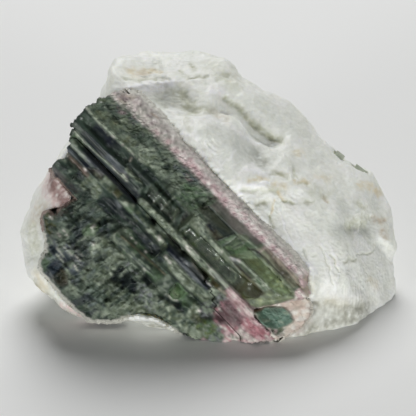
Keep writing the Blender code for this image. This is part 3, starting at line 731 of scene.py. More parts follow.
def prism_faces(sheet):
    area, stroke = sheet.area, sheet.stroke
    area(((0.6, -1.9), (1.6, 2.4), (13.6, 2.9), (22.0, 3.2), (24.4, 0.6), (20.0, -6.4), (0.8, -6.6)),
         glassy((FOREST, MOSS), 1.0), 0.0, 0.3, 0.2)
    # Between the crests
    area(((1.8, -4.3), (9.8, -3.9), (10.6, -5.0), (9.4, -6.5), (1.0, -6.5)),
         glassy((BOTTLE, FOREST, tone(80, 92, 66)), 0.8, 1.2, 60.0), -0.1)
    area(((9.7, -4.9), (11.0, -3.9), (14.2, -4.1), (14.5, -6.4), (9.2, -6.4)),
         glassy((BOTTLE, FOREST, tone(88, 98, 90)), 0.6, 1.4, 30.0), 0.0)
    for points, width, colours in (
        (((11.6, -4.3), (13.2, -4.2), (14.1, -5.0), (13.9, -6.1)), 0.14, (SAGE, FROST)),
        (((11.2, -4.8), (12.4, -4.9), (12.8, -5.7)), 0.2, (INK, NIGHT)),
        (((10.6, -6.2), (12.0, -5.6), (13.5, -5.8)), 0.12, (FOREST, SAGE)),
        (((9.8, -5.2), (11.0, -4.4), (12.8, -4.5)), 0.15, (FOREST, SAGE)),
        (((13.0, -6.3), (13.6, -5.7), (14.2, -5.9)), 0.2, (SAGE, FROST)),
        (((8.2, -4.2), (7.4, -6.3)), 0.2, (FOREST, SAGE)),
        (((10.0, -4.2), (9.4, -6.2)), 0.25, (NIGHT, FOREST)),
        (((4.9, -4.2), (4.5, -5.6)), 0.3, (MOSS, SAGE)),
    ):
        stroke(points, width, glassy(colours, 0.4), 0.05)
    # The olive window
    window = (
        (11.2, -3.1), (15.6, -2.9), (19.3, -3.0), (19.0, -4.8), (17.6, -6.5), (14.6, -6.5), (14.4, -4.4),
        (13.8, -3.7), (11.2, -3.6),
    )
    area(window, glassy((tone(60, 58, 42), tone(72, 70, 50), tone(82, 84, 58)), 1.2), 0.0, 0.5, 0.2)
    area(bar(14.3, 15.1, -6.3, -4.0, -0.2), glassy((NIGHT, OLIVE), 0.5), strength=0.7)
    stroke(((11.0, -3.2), (15.8, -3.1)), 0.3, glassy((INK, UMBER), 0.5), -0.05)
    sheet.spot((16.8, -4.4), 0.22, glassy((CHALK, CHALK)), 0.1)
    sheet.spot((16.9, -5.6), 0.4, glassy((OLIVE, SAGE), 0.3), 0.05, 0.7)
    stroke(((15.2, -3.9), (15.6, -6.3)), 0.15, glassy((OLIVE, SAGE), 0.4), strength=0.7)
    # The dark smooth face and its lines
    area(((1.1, -1.3), (1.8, 0.4), (8.2, 0.3), (7.2, -1.6), (4.0, -1.8)),
         glassy((NIGHT, tone(56, 60, 50), tone(68, 74, 62)), 1.5, 3.0), -0.05, 0.12, 0.05)
    area(bar(3.6, 7.8, -2.9, -1.5, 0.2), grooved((INK, UMBER, SAGE), 0.3, 4.0), 0.0, 0.15, 0.08)
    stroke(((0.9, -1.2), (1.8, 0.4)), 0.3, glassy((INK, UMBER)), -0.1)
    stroke(((1.7, 0.35), (5.0, 0.35), (10.8, 0.45)), 0.22, glassy((INK, NIGHT)), -0.1)
    area(((0.4, 1.2), (1.2, 1.2), (2.0, 2.2), (1.6, 2.3)), glassy((INK, UMBER), 0.4), -0.1)
    area(((2.0, 0.6), (2.0, 2.4), (13.0, 2.8), (12.0, 1.0), (8.4, 0.6)),
         grooved((tone(74, 76, 70), tone(86, 84, 80), tone(100, 98, 92)), 0.4, 2.5), 0.0, 0.2, 0.1)
    # Green shards across the prism
    shards = mosaic(((3, FOREST), (3, LEAF), (2, SAGE), (2, MOSS)), 0.8, 2.2, 52.0, 0.12)
    area(((7.2, -2.9), (8.4, 0.5), (9.8, 1.5), (13.6, 1.4), (14.2, 0.6), (12.2, -2.0), (10.4, -3.0)), shards,
         0.0, 0.7, 0.4)
    for start, end, colours in (
        ((7.1, -2.4), (8.3, 0.2), (INK, NIGHT)), ((9.8, -1.7), (10.4, 0.0), (INK, BOTTLE)),
        ((8.3, -1.9), (9.4, 0.4), (SAGE, FROST)), ((11.8, -1.9), (13.8, 0.1), (SAGE, FROST)),
        ((10.9, -1.2), (12.0, 0.0), (LEAF, SAGE)), ((9.4, 0.9), (12.8, 1.3), (SAGE, FROST)),
    ):
        stroke((start, end), 0.25, glassy(colours, 0.4))
    # The lined olive face
    lined = grooved((tone(84, 82, 70), tone(114, 116, 98), tone(138, 144, 124)), 0.2, 6.0, -1.5)
    area(((12.6, 0.8), (13.4, 2.7), (21.9, 2.9), (22.2, 1.0), (19.6, 0.9)), lined, 0.0, 0.15, 0.08)
    area(bar(13.4, 21.8, 2.1, 3.0), grooved((MAUVE, SAND, SAGE), 0.2, 4.0, -1.5), strength=0.7)
    stroke(((13.5, 0.9), (13.6, 2.4)), 0.3, glassy((SAGE, PETAL)), strength=0.6)
    stroke(((11.8, 0.1), (12.6, 0.8), (14.0, 1.05), (19.6, 1.2)), 0.25, glassy((INK, UMBER), 0.5), -0.1)
    area(((13.0, -2.0), (14.4, 0.9), (19.6, 0.9), (23.6, 0.7), (22.2, -1.6), (20.4, -5.2), (18.9, -6.3),
          (19.3, -3.0), (18.8, -2.0)), glassy((MOSS, tone(102, 110, 84), SAGE, tone(146, 156, 124)), 0.55,
                                              1.8, 20.0, 0.1))
    area(((17.6, -5.6), (19.2, -4.4), (23.4, 0.2), (22.6, -2.0), (20.6, -5.6), (19.0, -6.2)),
         mosaic(((2, tone(120, 130, 100)), (3, tone(136, 144, 116)), (1, SAGE)), 0.4, 1.5), strength=0.5)
    area(((12.5, -1.9), (14.2, 0.2), (16.6, -0.2), (16.8, -1.9)), glassy((OLIVE, MOSS), 0.8), strength=0.85)
    for place in ((19.2, -0.2), (20.3, -0.2), (21.2, -3.2), (22.8, 0.5), (19.6, -4.4), (20.0, 0.3),
                  (17.2, 0.6)):
        sheet.spot(place, 0.35, glassy((FROST, tone(180, 186, 146)), 0.3), strength=0.7)
    # The broken end
    stroke(((23.9, 0.2), (22.7, -2.5), (20.3, -6.2)), 0.6, mosaic(((3, PETAL), (3, CHALK), (1, SAND)), 0.3),
           0.05)
    area(((22.8, 1.9), (25.0, 1.8), (24.6, 0.1), (23.6, -0.1), (22.6, 0.8)),
         mosaic(((3, PETAL), (3, CHALK), (1, ROSE)), 0.3))
    area(((21.6, 2.6), (23.0, 2.0), (25.2, 1.8), (25.6, 3.0), (23.8, 5.0), (21.8, 5.4)),
         mosaic(((3, tone(172, 160, 146)), (2, SAND), (2, PETAL)), 0.4), 0.0, 0.4)
    stroke(((21.8, 2.0), (23.4, 2.05)), 0.18, glassy((RUST, UMBER), 0.3), -0.1)


def pink_edge(sheet):
    area = sheet.area
    sugar = ((4, tone(174, 169, 163)), (3, tone(192, 182, 179)), (2, CHALK), (1, tone(132, 122, 122)),
             (1, tone(140, 142, 134)))
    blush = ((4, tone(202, 190, 187)), (4, tone(212, 208, 203)), (2, tone(188, 169, 169)),
             (1, tone(174, 146, 149)))
    left = ((-24.2, 1.3), (-20.0, 1.8), (-14.0, 2.2), (-7.0, 2.2), (-6.0, 6.2), (-20.2, 6.2), (-23.6, 4.2))
    area(left, mosaic(sugar, 0.3, 1.8, 60.0, 0.15), 0.0, 0.7, 0.5)
    right = ((-8.0, 2.3), (0.0, 2.4), (8.0, 2.5), (14.0, 2.8), (21.8, 3.1), (22.4, 6.2), (-8.0, 6.2))
    area(right, mosaic(blush, 0.28, 1.8, 60.0, 0.12), 0.0, 0.5, 0.35)
    area(((-19.0, 4.2), (-8.0, 4.0), (2.0, 3.9), (21.6, 3.8), (21.8, 4.6), (0.0, 4.7), (-20.0, 5.0)),
         mosaic(((3, tone(200, 196, 190)), (2, tone(178, 168, 165)), (1, tone(146, 148, 138))), 0.25), 0.0,
         0.4, 0.2, 0.8)
    edge = mosaic(((3, tone(196, 195, 189)), (2, tone(174, 174, 167)), (1, tone(148, 152, 142))), 0.3, 2.0)
    area(((-8.0, 5.0), (2.0, 4.75), (22.0, 4.7), (22.4, 6.2), (-8.0, 6.2)), edge, 0.0, 0.3, 0.2, 0.7)
    area(((-21.0, 4.8), (-8.0, 4.9), (-8.0, 6.2), (-21.0, 6.2)),
         mosaic(((3, tone(204, 202, 196)), (2, tone(176, 170, 166))), 0.3, 1.5), 0.0, 0.4, 0.3, 0.9)
    strong = mosaic(((2, tone(166, 132, 138)), (3, tone(162, 140, 142)), (2, PETAL)), 0.3, 1.5, 70.0)
    for a0, a1, b0, b1 in (
        (-6.8, -1.6, 2.5, 3.6), (2.0, 3.8, 2.3, 3.3), (5.0, 6.3, 2.3, 3.0), (-14.3, -13.1, 2.4, 3.1),
        (-11.5, -10.5, 2.6, 3.6), (-9.7, -8.3, 2.4, 3.4), (8.6, 12.4, 2.6, 3.1), (-0.6, 1.6, 2.8, 3.6),
        (14.0, 20.0, 2.9, 3.4),
    ):
        area(bar(a0, a1, b0, b1, 0.3), strong, 0.0, 0.5, 0.3, 0.75)
    area(((-23.4, 3.0), (-20.4, 3.3), (-20.1, 4.7), (-22.8, 4.1)), glassy((SAND, CHALK), 0.5), strength=0.7)
    area(((-23.2, 1.8), (-20.8, 2.0), (-20.4, 3.7), (-22.4, 3.5)),
         mosaic(((3, MAUVE), (2, SAND), (1, RUST)), 0.4), strength=0.5)
    sheet.stroke(((-16.5, 4.3), (-15.2, 4.6)), 0.3, glassy((RUST, SAND), 0.3), -0.05)


def pink_rib(sheet):
    area = sheet.area
    outline = (
        (14.8, -6.5), (19.9, -6.4), (20.4, -7.0), (24.0, -7.1), (27.6, -6.2), (27.0, -7.4), (25.8, -8.8),
        (24.4, -10.6), (22.6, -12.2), (21.4, -13.6), (20.8, -15.0), (19.9, -13.3), (18.4, -12.7),
        (16.4, -12.7), (15.4, -11.0), (15.2, -9.0),
    )
    area(outline, mosaic(((4, ROSE), (4, PETAL), (1, CHALK), (2, tone(138, 118, 120))), 0.4, 1.8), 0.1, 0.7,
         0.5)
    area(((14.2, -6.6), (20.0, -6.4), (20.8, -7.4), (20.0, -8.2), (15.6, -8.2), (14.2, -7.6)),
         grooved((tone(140, 112, 112), PETAL, CHALK), 0.22, 2.5), 0.15)
    area(((15.3, -8.3), (19.6, -8.4), (20.8, -10.2), (19.0, -11.4), (17.6, -12.3), (16.2, -12.5),
          (15.8, -10.2)), grooved((tone(66, 54, 54), tone(98, 82, 84), tone(140, 112, 116)), 0.4, 3.0), 0.0,
         0.35, 0.3, 0.85)
    area(((19.8, -8.4), (21.6, -7.3), (24.8, -7.3), (24.2, -9.0), (22.6, -9.9), (20.2, -9.7)),
         mosaic(((4, tone(158, 110, 116)), (2, PETAL)), 0.4, 2.0), 0.0, 0.6, 0.4, 0.8)
    area(((20.6, -10.4), (24.4, -9.4), (26.6, -7.6), (24.8, -10.8), (22.4, -12.8), (20.6, -12.8)),
         mosaic(((4, CHALK), (3, PETAL), (1, SAGE)), 0.35), 0.0, 0.6, 0.4, 0.8)


def middle_ribs(sheet):
    area, stroke = sheet.area, sheet.stroke
    greens = ((2, BOTTLE), (3, FOREST), (2, MOSS), (1, SAGE))
    area(((-6.2, -7.9), (1.0, -7.8), (7.0, -7.7), (15.4, -7.6), (15.8, -12.8), (8.0, -12.8), (2.6, -12.8),
          (-6.0, -10.4)), mosaic(greens, 0.4, 2.2))
    area(((6.0, -7.8), (13.8, -7.6), (14.8, -8.1), (12.4, -8.8), (7.0, -8.9)),
         mosaic(((3, OLIVE), (2, MOSS), (2, LEAF)), 0.4, 1.6))
    area(((11.2, -7.6), (13.2, -7.7), (12.6, -8.7), (11.4, -8.6)), glassy((UMBER, tone(70, 66, 46)), 0.6),
         -0.1)
    area(((13.2, -7.8), (15.2, -7.7), (14.6, -8.3), (13.0, -8.4)), glassy((SAGE, SAND), 0.5))
    area(((1.6, -9.1), (6.6, -8.6), (12.4, -8.8), (12.8, -9.8), (8.4, -10.4), (4.0, -10.4), (2.0, -10.2)),
         grooved((INK, INK, SLATE, LILAC), 0.25, 6.0), 0.2, 0.15, 0.08)
    # Painted highlight: a glint along the top of the dark-blue rib, brightest at its left end
    stroke(((6.9, -8.5), (8.2, -8.7), (12.2, -8.9)), 0.28, grooved((LILAC, CHALK), 0.15, 1.5), 0.15)
    sheet.spot((7.3, -8.55), 0.3, glassy((CHALK, CHALK)))
    stroke(((4.0, -9.6), (8.2, -9.4), (12.4, -9.4)), 0.3, glassy((INK, INK)), -0.05)
    stroke(((3.0, -10.2), (8.6, -10.25)), 0.3, glassy((INK, NIGHT)), -0.1)
    area(((12.2, -8.9), (13.6, -8.3), (14.0, -9.4), (13.2, -10.2), (12.2, -9.8)), glassy((SAGE, FROST), 0.5),
         0.2)
    area(((13.8, -8.3), (15.4, -8.3), (15.9, -10.2), (16.3, -12.4), (14.8, -13.9), (13.2, -13.9),
          (12.8, -12.2), (14.0, -10.0)), mosaic(((2, NIGHT), (3, tone(84, 86, 84)), (2, SAGE), (1, LILAC)),
                                                0.35))
    area(((2.6, -10.8), (4.8, -10.4), (9.8, -10.5), (10.8, -11.6), (10.2, -12.3), (5.2, -12.3), (3.6, -11.5)),
         grooved((MOSS, SAGE, FROST), 0.35, 1.2), 0.35)
    stroke(((2.8, -10.9), (4.2, -11.1)), 0.4, glassy((FROST, CHALK), 0.4), 0.1)
    area(((10.2, -10.4), (13.3, -10.3), (13.4, -11.6), (12.2, -12.4), (10.8, -12.4)),
         glassy((FOREST, MOSS, SAGE), 0.6), 0.15)
    stroke(((11.9, -10.9), (13.2, -10.4)), 0.3, glassy((SAGE, FROST), 0.4))
    stroke(((4.8, -12.45), (9.0, -12.4), (13.4, -12.2)), 0.25, glassy((INK, NIGHT)), -0.2)
    area(((-3.0, -10.3), (-2.6, -9.3), (-1.6, -9.1), (-1.4, -9.8), (-2.2, -10.5)),
         glassy((LEAF, SAGE, FROST), 0.5), 0.3)
    area(((-1.0, -9.9), (-0.4, -9.2), (0.8, -9.2), (1.3, -9.7), (0.4, -10.1)),
         glassy((SAGE, FROST, CHALK), 0.5), 0.25)
    stroke(((-6.2, -9.9), (-3.2, -9.9)), 0.18, glassy((SLATE, LILAC)))
    # Painted shade: the deep groove below the ribs is painted near-black, with dark blocks strewn in it
    gap = (
        (-9.6, -10.4), (-6.0, -10.4), (-3.0, -10.5), (-0.4, -10.2), (1.4, -10.8), (3.2, -12.2), (2.4, -13.0),
        (-4.0, -12.4), (-12.0, -13.4), (-12.0, -11.4),
    )
    area(gap, glassy((INK, NIGHT, tone(66, 70, 70)), 0.7), -0.4)
    scatter(sheet, gap, 50, (1.6, 0.35), 8.0, ((INK, NIGHT), (NIGHT, BOTTLE), (NIGHT, SLATE),
                                               (BOTTLE, FOREST)), 0.15, 51)
    area(((-10.0, -10.2), (-8.6, -10.3), (-8.4, -11.0), (-9.6, -11.0)), glassy((SLATE, LILAC), 0.4), 0.2,
         strength=0.8)
    stroke(((-0.6, -10.6), (-1.6, -12.2)), 0.15, glassy((SLATE, SLATE)), strength=0.6)


def left_knobs(sheet):
    area = sheet.area
    area(((-21.8, -11.4), (-16.3, -11.3), (-16.2, -13.3), (-19.0, -13.9), (-22.3, -14.1), (-22.4, -12.4)),
         mosaic(((3, NIGHT), (3, BOTTLE), (3, FOREST), (1, SAGE)), 0.4), 0.2)
    area(bar(-18.2, -16.6, -12.9, -11.6), glassy((INK, NIGHT), 0.5), -0.2, strength=0.8)
    area(((-16.2, -10.5), (-14.4, -10.3), (-12.6, -11.2), (-12.4, -12.6), (-13.2, -13.4), (-16.3, -13.4)),
         mosaic(((2, FOREST), (3, MOSS), (3, SAGE)), 0.45), 0.1)
    sheet.stroke(((-15.6, -13.0), (-12.8, -12.6)), 0.35, mosaic(((2, SAGE), (2, FROST)), 0.3), 0.1)
    area(((-21.8, -14.0), (-14.8, -13.7), (-14.4, -15.2), (-20.9, -15.4)),
         grooved((INK, NIGHT, tone(74, 74, 72)), 0.25, 3.0), -0.1)
    sheet.stroke(((-20.2, -13.8), (-17.0, -13.7)), 0.2, glassy((MOSS, SAGE)), strength=0.5)
    area(bar(-18.6, -14.8, -15.8, -13.2), mosaic(((3, INK), (3, NIGHT), (1, FOREST)), 0.4), 0.0, 0.7, 0.4,
         0.5)


def middle_rod(sheet):
    outline = (
        (-6.2, -13.2), (-5.4, -12.3), (-4.2, -12.0), (0.0, -12.4), (5.0, -12.7), (5.6, -15.4), (-0.5, -15.7),
        (-5.4, -15.8), (-6.2, -14.6),
    )
    sheet.area(outline, mosaic(((3, BOTTLE), (3, FOREST), (2, LEAF), (1, SAGE)), 0.4, 2.4), 0.3)
    sheet.area(((-5.9, -13.8), (-5.4, -12.4), (-4.2, -12.1), (-3.8, -13.6)), glassy((LEAF, SAGE), 0.6), 0.1)
    sheet.area(bar(3.0, 5.3, -15.0, -13.5), glassy((FOREST, LEAF), 0.6))
    sheet.stroke(((-5.2, -12.4), (-6.0, -13.3), (-6.0, -14.6), (-5.4, -15.5)), 0.28,
                 glassy((SAGE, FROST), 0.4), 0.1)
    sheet.stroke(((-5.3, -15.5), (-2.0, -15.3), (1.6, -15.1), (2.4, -15.6)), 0.22,
                 glassy((SLATE, FROST), 0.4), 0.1)
    sheet.spot((1.9, -15.2), 0.35, glassy((FROST, CHALK), 0.3))
    for place in ((-3.5, -13.0), (-2.4, -13.1), (-0.1, -12.9)):
        sheet.spot(place, 0.25, glassy((CHALK, CHALK)))
    needle = ((-4.9, -14.05), (-2.5, -13.75), (0.0, -13.6), (5.4, -13.2))
    sheet.stroke(needle, 0.2, glassy((tone(118, 112, 92), tone(160, 150, 126)), 0.6), 0.1, strength=0.8)


def green_chunks(sheet):
    area = sheet.area
    area(((5.4, -12.8), (7.5, -12.8), (7.5, -15.4), (8.4, -16.6), (4.6, -17.2), (4.8, -15.6)),
         grooved((NIGHT, FOREST, SAGE), 0.5, 2.0, 65.0), 0.0)
    area(((7.5, -12.6), (10.1, -12.5), (10.0, -14.6), (9.2, -15.5), (8.0, -15.4), (7.4, -14.2)),
         glassy((LEAF, tone(96, 122, 90), SAGE), 0.8), 0.45)
    area(((10.2, -12.6), (12.2, -12.6), (12.2, -14.4), (10.8, -14.9), (10.1, -14.2)),
         glassy((FOREST, LEAF), 0.8), 0.25)
    sheet.stroke(((8.0, -15.3), (9.1, -15.4), (9.8, -14.8)), 0.22, glassy((FROST, CHALK), 0.3), 0.1)
    area(((11.9, -12.8), (13.4, -13.0), (14.6, -14.2), (14.4, -15.6), (12.6, -15.8)),
         mosaic(((2, SAGE), (2, MOSS), (1, FROST), (1, FOREST)), 0.35), 0.1)
    sheet.spot((13.6, -13.4), 0.35, glassy((CHALK, CHALK)))
    area(((8.0, -15.8), (9.4, -15.8), (10.4, -14.9), (11.8, -15.1), (12.0, -15.8), (9.2, -16.6)),
         glassy((INK, NIGHT), 0.5), -0.3)
    area(((8.2, -16.3), (12.0, -15.7), (14.8, -16.0), (15.4, -17.8), (12.2, -19.0), (9.4, -19.9),
          (8.0, -18.0)), mosaic(((3, MOSS), (3, SAGE), (3, FOREST), (1, FROST)), 0.45, 1.6, 80.0, 0.3), 0.1)
    knob = (
        (14.4, -14.2), (16.4, -12.8), (18.2, -12.8), (19.0, -14.2), (18.2, -15.4), (17.4, -16.3),
        (17.2, -17.4), (16.2, -18.0), (14.9, -17.4), (14.4, -15.4),
    )
    area(knob, mosaic(((3, tone(84, 98, 60)), (2, LEAF), (3, MOSS), (2, SAGE)), 0.38, 1.2, 30.0, 0.3), 0.3)
    area(((14.8, -15.8), (17.0, -16.0), (17.1, -17.3), (16.2, -17.9), (15.1, -17.3)),
         glassy((SAGE, FROST), 0.6), 0.1, strength=0.8)
    area(bar(13.2, 15.0, -15.2, -14.0, 0.4), glassy((NIGHT, OLIVE), 0.5), strength=0.8)
    area(((18.2, -12.9), (20.2, -13.2), (20.6, -15.0), (18.6, -16.3), (18.0, -14.8)),
         mosaic(((3, SAGE), (2, FOREST), (2, LILAC), (1, PETAL)), 0.35))
    area(bar(17.4, 18.8, -16.6, -15.9), glassy((PETAL, MAUVE), 0.4), strength=0.7)


def lower_mass(sheet):
    area, stroke = sheet.area, sheet.stroke
    deep = ((4, NIGHT), (4, BOTTLE), (3, FOREST), (2, MOSS), (1, SAGE), (1, SLATE))
    outline = (
        (-14.8, -13.3), (-6.2, -12.6), (-5.6, -15.8), (5.0, -15.6), (8.4, -16.2), (9.4, -20.0), (4.4, -26.0),
        (1.6, -29.0), (-11.0, -29.0), (-12.4, -25.0), (-18.0, -21.6), (-16.0, -15.2),
    )
    area(outline, mosaic(deep, 0.85, 2.2, 80.0, 0.6))
    area(outline, mosaic(deep, 0.5, 1.8, 70.0, 0.25), strength=0.45)
    area(outline, grooved((BOTTLE, FOREST, SAGE), 0.3, 2.0, 78.0, 0.05), strength=0.3)
    blocks = ((NIGHT, BOTTLE), (BOTTLE, FOREST), (BOTTLE, SAGE), (BOTTLE, tone(92, 104, 98)), (SLATE, SAGE),
              (NIGHT, SLATE), (MOSS, SAGE), (INK, NIGHT), (MOSS, tone(122, 132, 120)), (NIGHT, BOTTLE),
              (INK, BOTTLE))
    inner = ((-14.4, -14.0), (-6.2, -13.0), (-5.6, -15.8), (5.0, -15.9), (8.4, -16.6), (8.4, -19.6),
             (4.0, -25.4), (1.0, -27.6), (-10.6, -27.8), (-12.0, -24.6), (-16.0, -21.6), (-14.8, -16.0))
    scatter(sheet, inner, 130, (2.6, 1.1), 80.0, blocks, 0.25, 31)
    pale = mosaic(((2, FOREST), (3, MOSS), (3, SAGE), (1, FROST)), 0.4)
    dark = glassy((INK, NIGHT), 0.7)
    area(bar(-14.6, -10.6, -19.6, -13.6), mosaic(((3, NIGHT), (3, BOTTLE), (1, FOREST)), 0.5), strength=0.35)
    stroke(((-15.3, -15.8), (-15.4, -18.0), (-15.2, -19.6)), 0.9, glassy((FOREST, SAGE), 0.4), strength=0.6)
    area(((-17.2, -20.4), (-14.2, -20.0), (-13.6, -22.8), (-15.6, -22.8)),
         mosaic(((3, OLIVE), (2, FOREST)), 0.4))
    sheet.spot((-15.7, -20.6), 0.5, glassy((SAGE, CHALK), 0.4))
    area(((-10.3, -16.0), (-8.6, -15.4), (-8.2, -17.2), (-9.4, -18.7), (-10.4, -18.4)),
         glassy((MOSS, LEAF, FROST), 0.6), 0.4)
    stroke(((-9.5, -16.0), (-9.5, -16.6)), 0.4, glassy((CHALK, CHALK)))
    area(((-8.3, -18.7), (-6.2, -17.1), (-5.7, -18.2), (-6.2, -20.2)), glassy((LEAF, SAGE, FROST), 0.6), 0.4)
    sheet.spot((-7.4, -18.4), 0.4, glassy((CHALK, CHALK)))
    area(((-7.6, -16.2), (-1.8, -15.8), (-1.6, -19.4), (-5.6, -20.1), (-6.0, -18.0)), pale, strength=0.8)
    area(((-13.8, -20.4), (-12.0, -19.8), (-11.0, -21.2), (-11.2, -22.0), (-13.4, -22.7)),
         mosaic(((2, FOREST), (4, SAGE), (1, CHALK)), 0.35), 0.2, strength=0.7)
    area(bar(-10.7, -7.8, -20.8, -18.8), dark, -0.2, 0.6, 0.4, 0.6)
    area(bar(-6.6, -4.6, -22.8, -20.4), dark, -0.2, 0.6, 0.4, 0.6)
    area(((-10.7, -21.0), (-8.6, -20.6), (-6.2, -21.4), (-5.8, -22.7), (-8.0, -23.0), (-10.5, -22.8)),
         mosaic(((3, SLATE), (2, SAGE), (2, LILAC), (1, NIGHT)), 0.3, 2.0), 0.2)
    area(((-12.6, -22.7), (-5.6, -23.0), (-5.3, -24.7), (-10.0, -25.0), (-12.4, -24.8)),
         grooved((tone(48, 56, 60), SLATE, SAGE), 0.4, 1.2), 0.3)
    for start, end in (((-10.4, -22.4), (-8.6, -22.5)), ((-11.1, -23.5), (-9.4, -23.7)),
                       ((-10.4, -24.3), (-8.8, -24.4)), ((-8.0, -22.0), (-6.8, -22.0)),
                       ((-6.8, -23.3), (-5.8, -23.6)), ((-8.6, -21.3), (-7.4, -21.2))):
        stroke((start, end), 0.28, glassy((FROST, CHALK), 0.3), 0.1, strength=0.85)
    area(((-12.2, -24.8), (-10.1, -24.9), (-9.9, -28.2), (-11.4, -27.8), (-12.0, -26.2)),
         glassy((FOREST, LEAF), 0.6), 0.1)
    area(bar(-10.1, -8.0, -27.2, -24.9), grooved((INK, tone(52, 60, 66)), 0.3, 1.5, 80.0))
    area(((-8.2, -25.2), (-6.4, -25.1), (-5.3, -26.6), (-5.8, -27.7), (-8.2, -27.9)),
         glassy((NIGHT, UMBER), 1.0), 0.4)
    stroke(((-7.4, -24.8), (-6.2, -25.3), (-4.9, -26.5)), 0.28, glassy((SAGE, FROST), 0.4), 0.1)
    stroke(((-4.4, -26.3), (-2.8, -26.5)), 0.3, glassy((SAGE, FROST), 0.4), 0.1, strength=0.8)
    area(((-5.5, -24.2), (-3.8, -24.3), (-3.3, -25.6), (-4.8, -26.0)), glassy((NIGHT, BOTTLE), 0.8), 0.3)
    area(((-5.6, -20.2), (-1.4, -19.6), (-0.6, -23.4), (-2.6, -25.0), (-5.2, -24.0)), pale, strength=0.7)
    area(((-1.6, -17.4), (0.6, -17.9), (3.9, -17.5), (3.8, -19.2), (1.0, -20.5), (-1.0, -20.8)), dark, -0.5)
    area(((2.8, -17.6), (4.4, -16.7), (8.3, -16.0), (8.6, -19.8), (4.4, -20.3)),
         mosaic(((3, SAGE), (2, LILAC), (3, FOREST), (1, FROST)), 0.28))
    area(((-1.6, -15.9), (2.4, -15.7), (2.6, -17.4), (-1.4, -17.6)),
         mosaic(((3, SAGE), (3, FOREST), (1, LILAC)), 0.3))
    area(bar(2.7, 4.5, -16.7, -15.6), dark, -0.3)
    for a, b, length in ((-3.8, -19.8, 4.2), (-2.2, -20.2, 4.0), (0.6, -19.8, 4.4), (2.2, -19.6, 4.6),
                         (3.8, -19.4, 4.4), (5.6, -19.2, 4.0), (-0.8, -21.2, 3.6)):
        area(((a - 0.9, b - length), (a, b - length), (a + 0.6, b), (a - 0.3, b)),
             grooved((FOREST, MOSS, SAGE), 0.35, 1.5, 78.0), 0.3, 0.2, 0.15, 0.85)
    area(((4.6, -20.2), (9.0, -19.6), (6.6, -21.8), (5.0, -24.4), (3.0, -25.4), (3.2, -22.0)),
         mosaic(((3, MOSS), (3, SAGE), (1, FROST)), 0.45), strength=0.8)
    area(((-9.6, -28.6), (2.0, -28.6), (4.6, -25.4), (2.4, -25.2), (-3.0, -26.6), (-5.8, -27.9)),
         mosaic(((3, NIGHT), (3, BOTTLE), (2, FOREST), (1, SAGE)), 0.5), strength=0.5)
    bright = ((MOSS, SAGE), (SAGE, FROST), (FOREST, SAGE), (tone(84, 94, 96), tone(124, 134, 130)))
    scatter(sheet, inner, 50, (1.4, 0.5), 80.0, bright, 0.15, 41, 0.65)
    area(bar(-9.4, -6.4, -21.9, -19.8), mosaic(((3, INK), (3, NIGHT), (1, BOTTLE)), 0.4), 0.0, 0.8, 0.5, 0.6)
    area(bar(-2.9, 1.0, -24.8, -22.9), mosaic(((2, BOTTLE), (2, FOREST), (2, tone(120, 134, 124))), 0.35),
         strength=0.7)


def glints(sheet):
    """Small bright and dark specks, most of them on the crests. The bright ones are painted highlights,
    glints.
    """
    bright = value_noise(sheet.a / 0.22, sheet.b / 0.16, 901) * value_noise(sheet.a / 3.0, sheet.b / 1.6, 902)
    share = np.clip((bright - 0.55) / 0.12, 0.0, 1.0)[:, None] * 0.3
    sheet.tint = sheet.tint * (1.0 - share) + FROST * share
    dark = value_noise(sheet.a / 0.5, sheet.b / 0.2, 903)
    share = np.clip((dark - 0.74) / 0.15, 0.0, 1.0)[:, None] * 0.5
    sheet.tint = sheet.tint * (1.0 - share) + NIGHT * share * 0.6


def crystals():
    sheet = Sheet((-25.8, 28.8), (-29.6, 6.4), OUTLINE, front_heights, BOTTLE)
    for region in (upper_grains, dark_facets, striated_ribs, window_facets, prism_faces, crests, pink_edge,
                   left_knobs, lower_mass, middle_ribs, middle_rod, green_chunks, pink_rib, glints):
        region(sheet)
    return sheet


def clear_parts(sheet):
    points, faces = [], []
    for outline, thickness, painted_light_gain in CLEAR_PARTS:
        shell, quads = sheet.clear_shell(outline, thickness)
        faces += [[i + len(points) for i in quad] for quad in quads]
        points += keep_in_box(to_world(shell)).tolist()
        # Painted light: the colours beneath the clear layer are made lighter
        beneath = polygon_depth(sheet.a, sheet.b, outline) > 0.2
        sheet.tint[beneath] = np.clip(sheet.tint[beneath] * painted_light_gain, 0.0, 0.9)
    mesh = bpy.data.meshes.new("clear_tourmaline")
    mesh.from_pydata(points, [], faces)
    mesh.validate()
    for face in mesh.polygons:
        face.use_smooth = True
    return mesh


TEAL_OUTLINE = (
    (19.4, -6.9), (20.5, -4.8), (22.0, -2.5), (23.3, 0.3), (24.4, 1.8), (26.6, 1.2), (27.7, -0.4),
    (28.1, -2.4), (27.6, -4.9), (26.6, -7.4), (25.1, -7.7), (23.1, -7.5), (21.2, -7.4),
)


def hollow_floor(a, b, _):
    """The floor of the hollow below the prism's end, which the teal crystal fills."""
    x, y, _ = to_face(np.column_stack([a, b, np.zeros(len(a))])).T
    z = -0.7 - 0.1 * (x - 11.0) + 0.12 * (y + 20.0) + 1.7 * np.clip((-5.7 - b) / 1.2, 0.0, 1.0)
    return z, np.zeros(len(a), int)


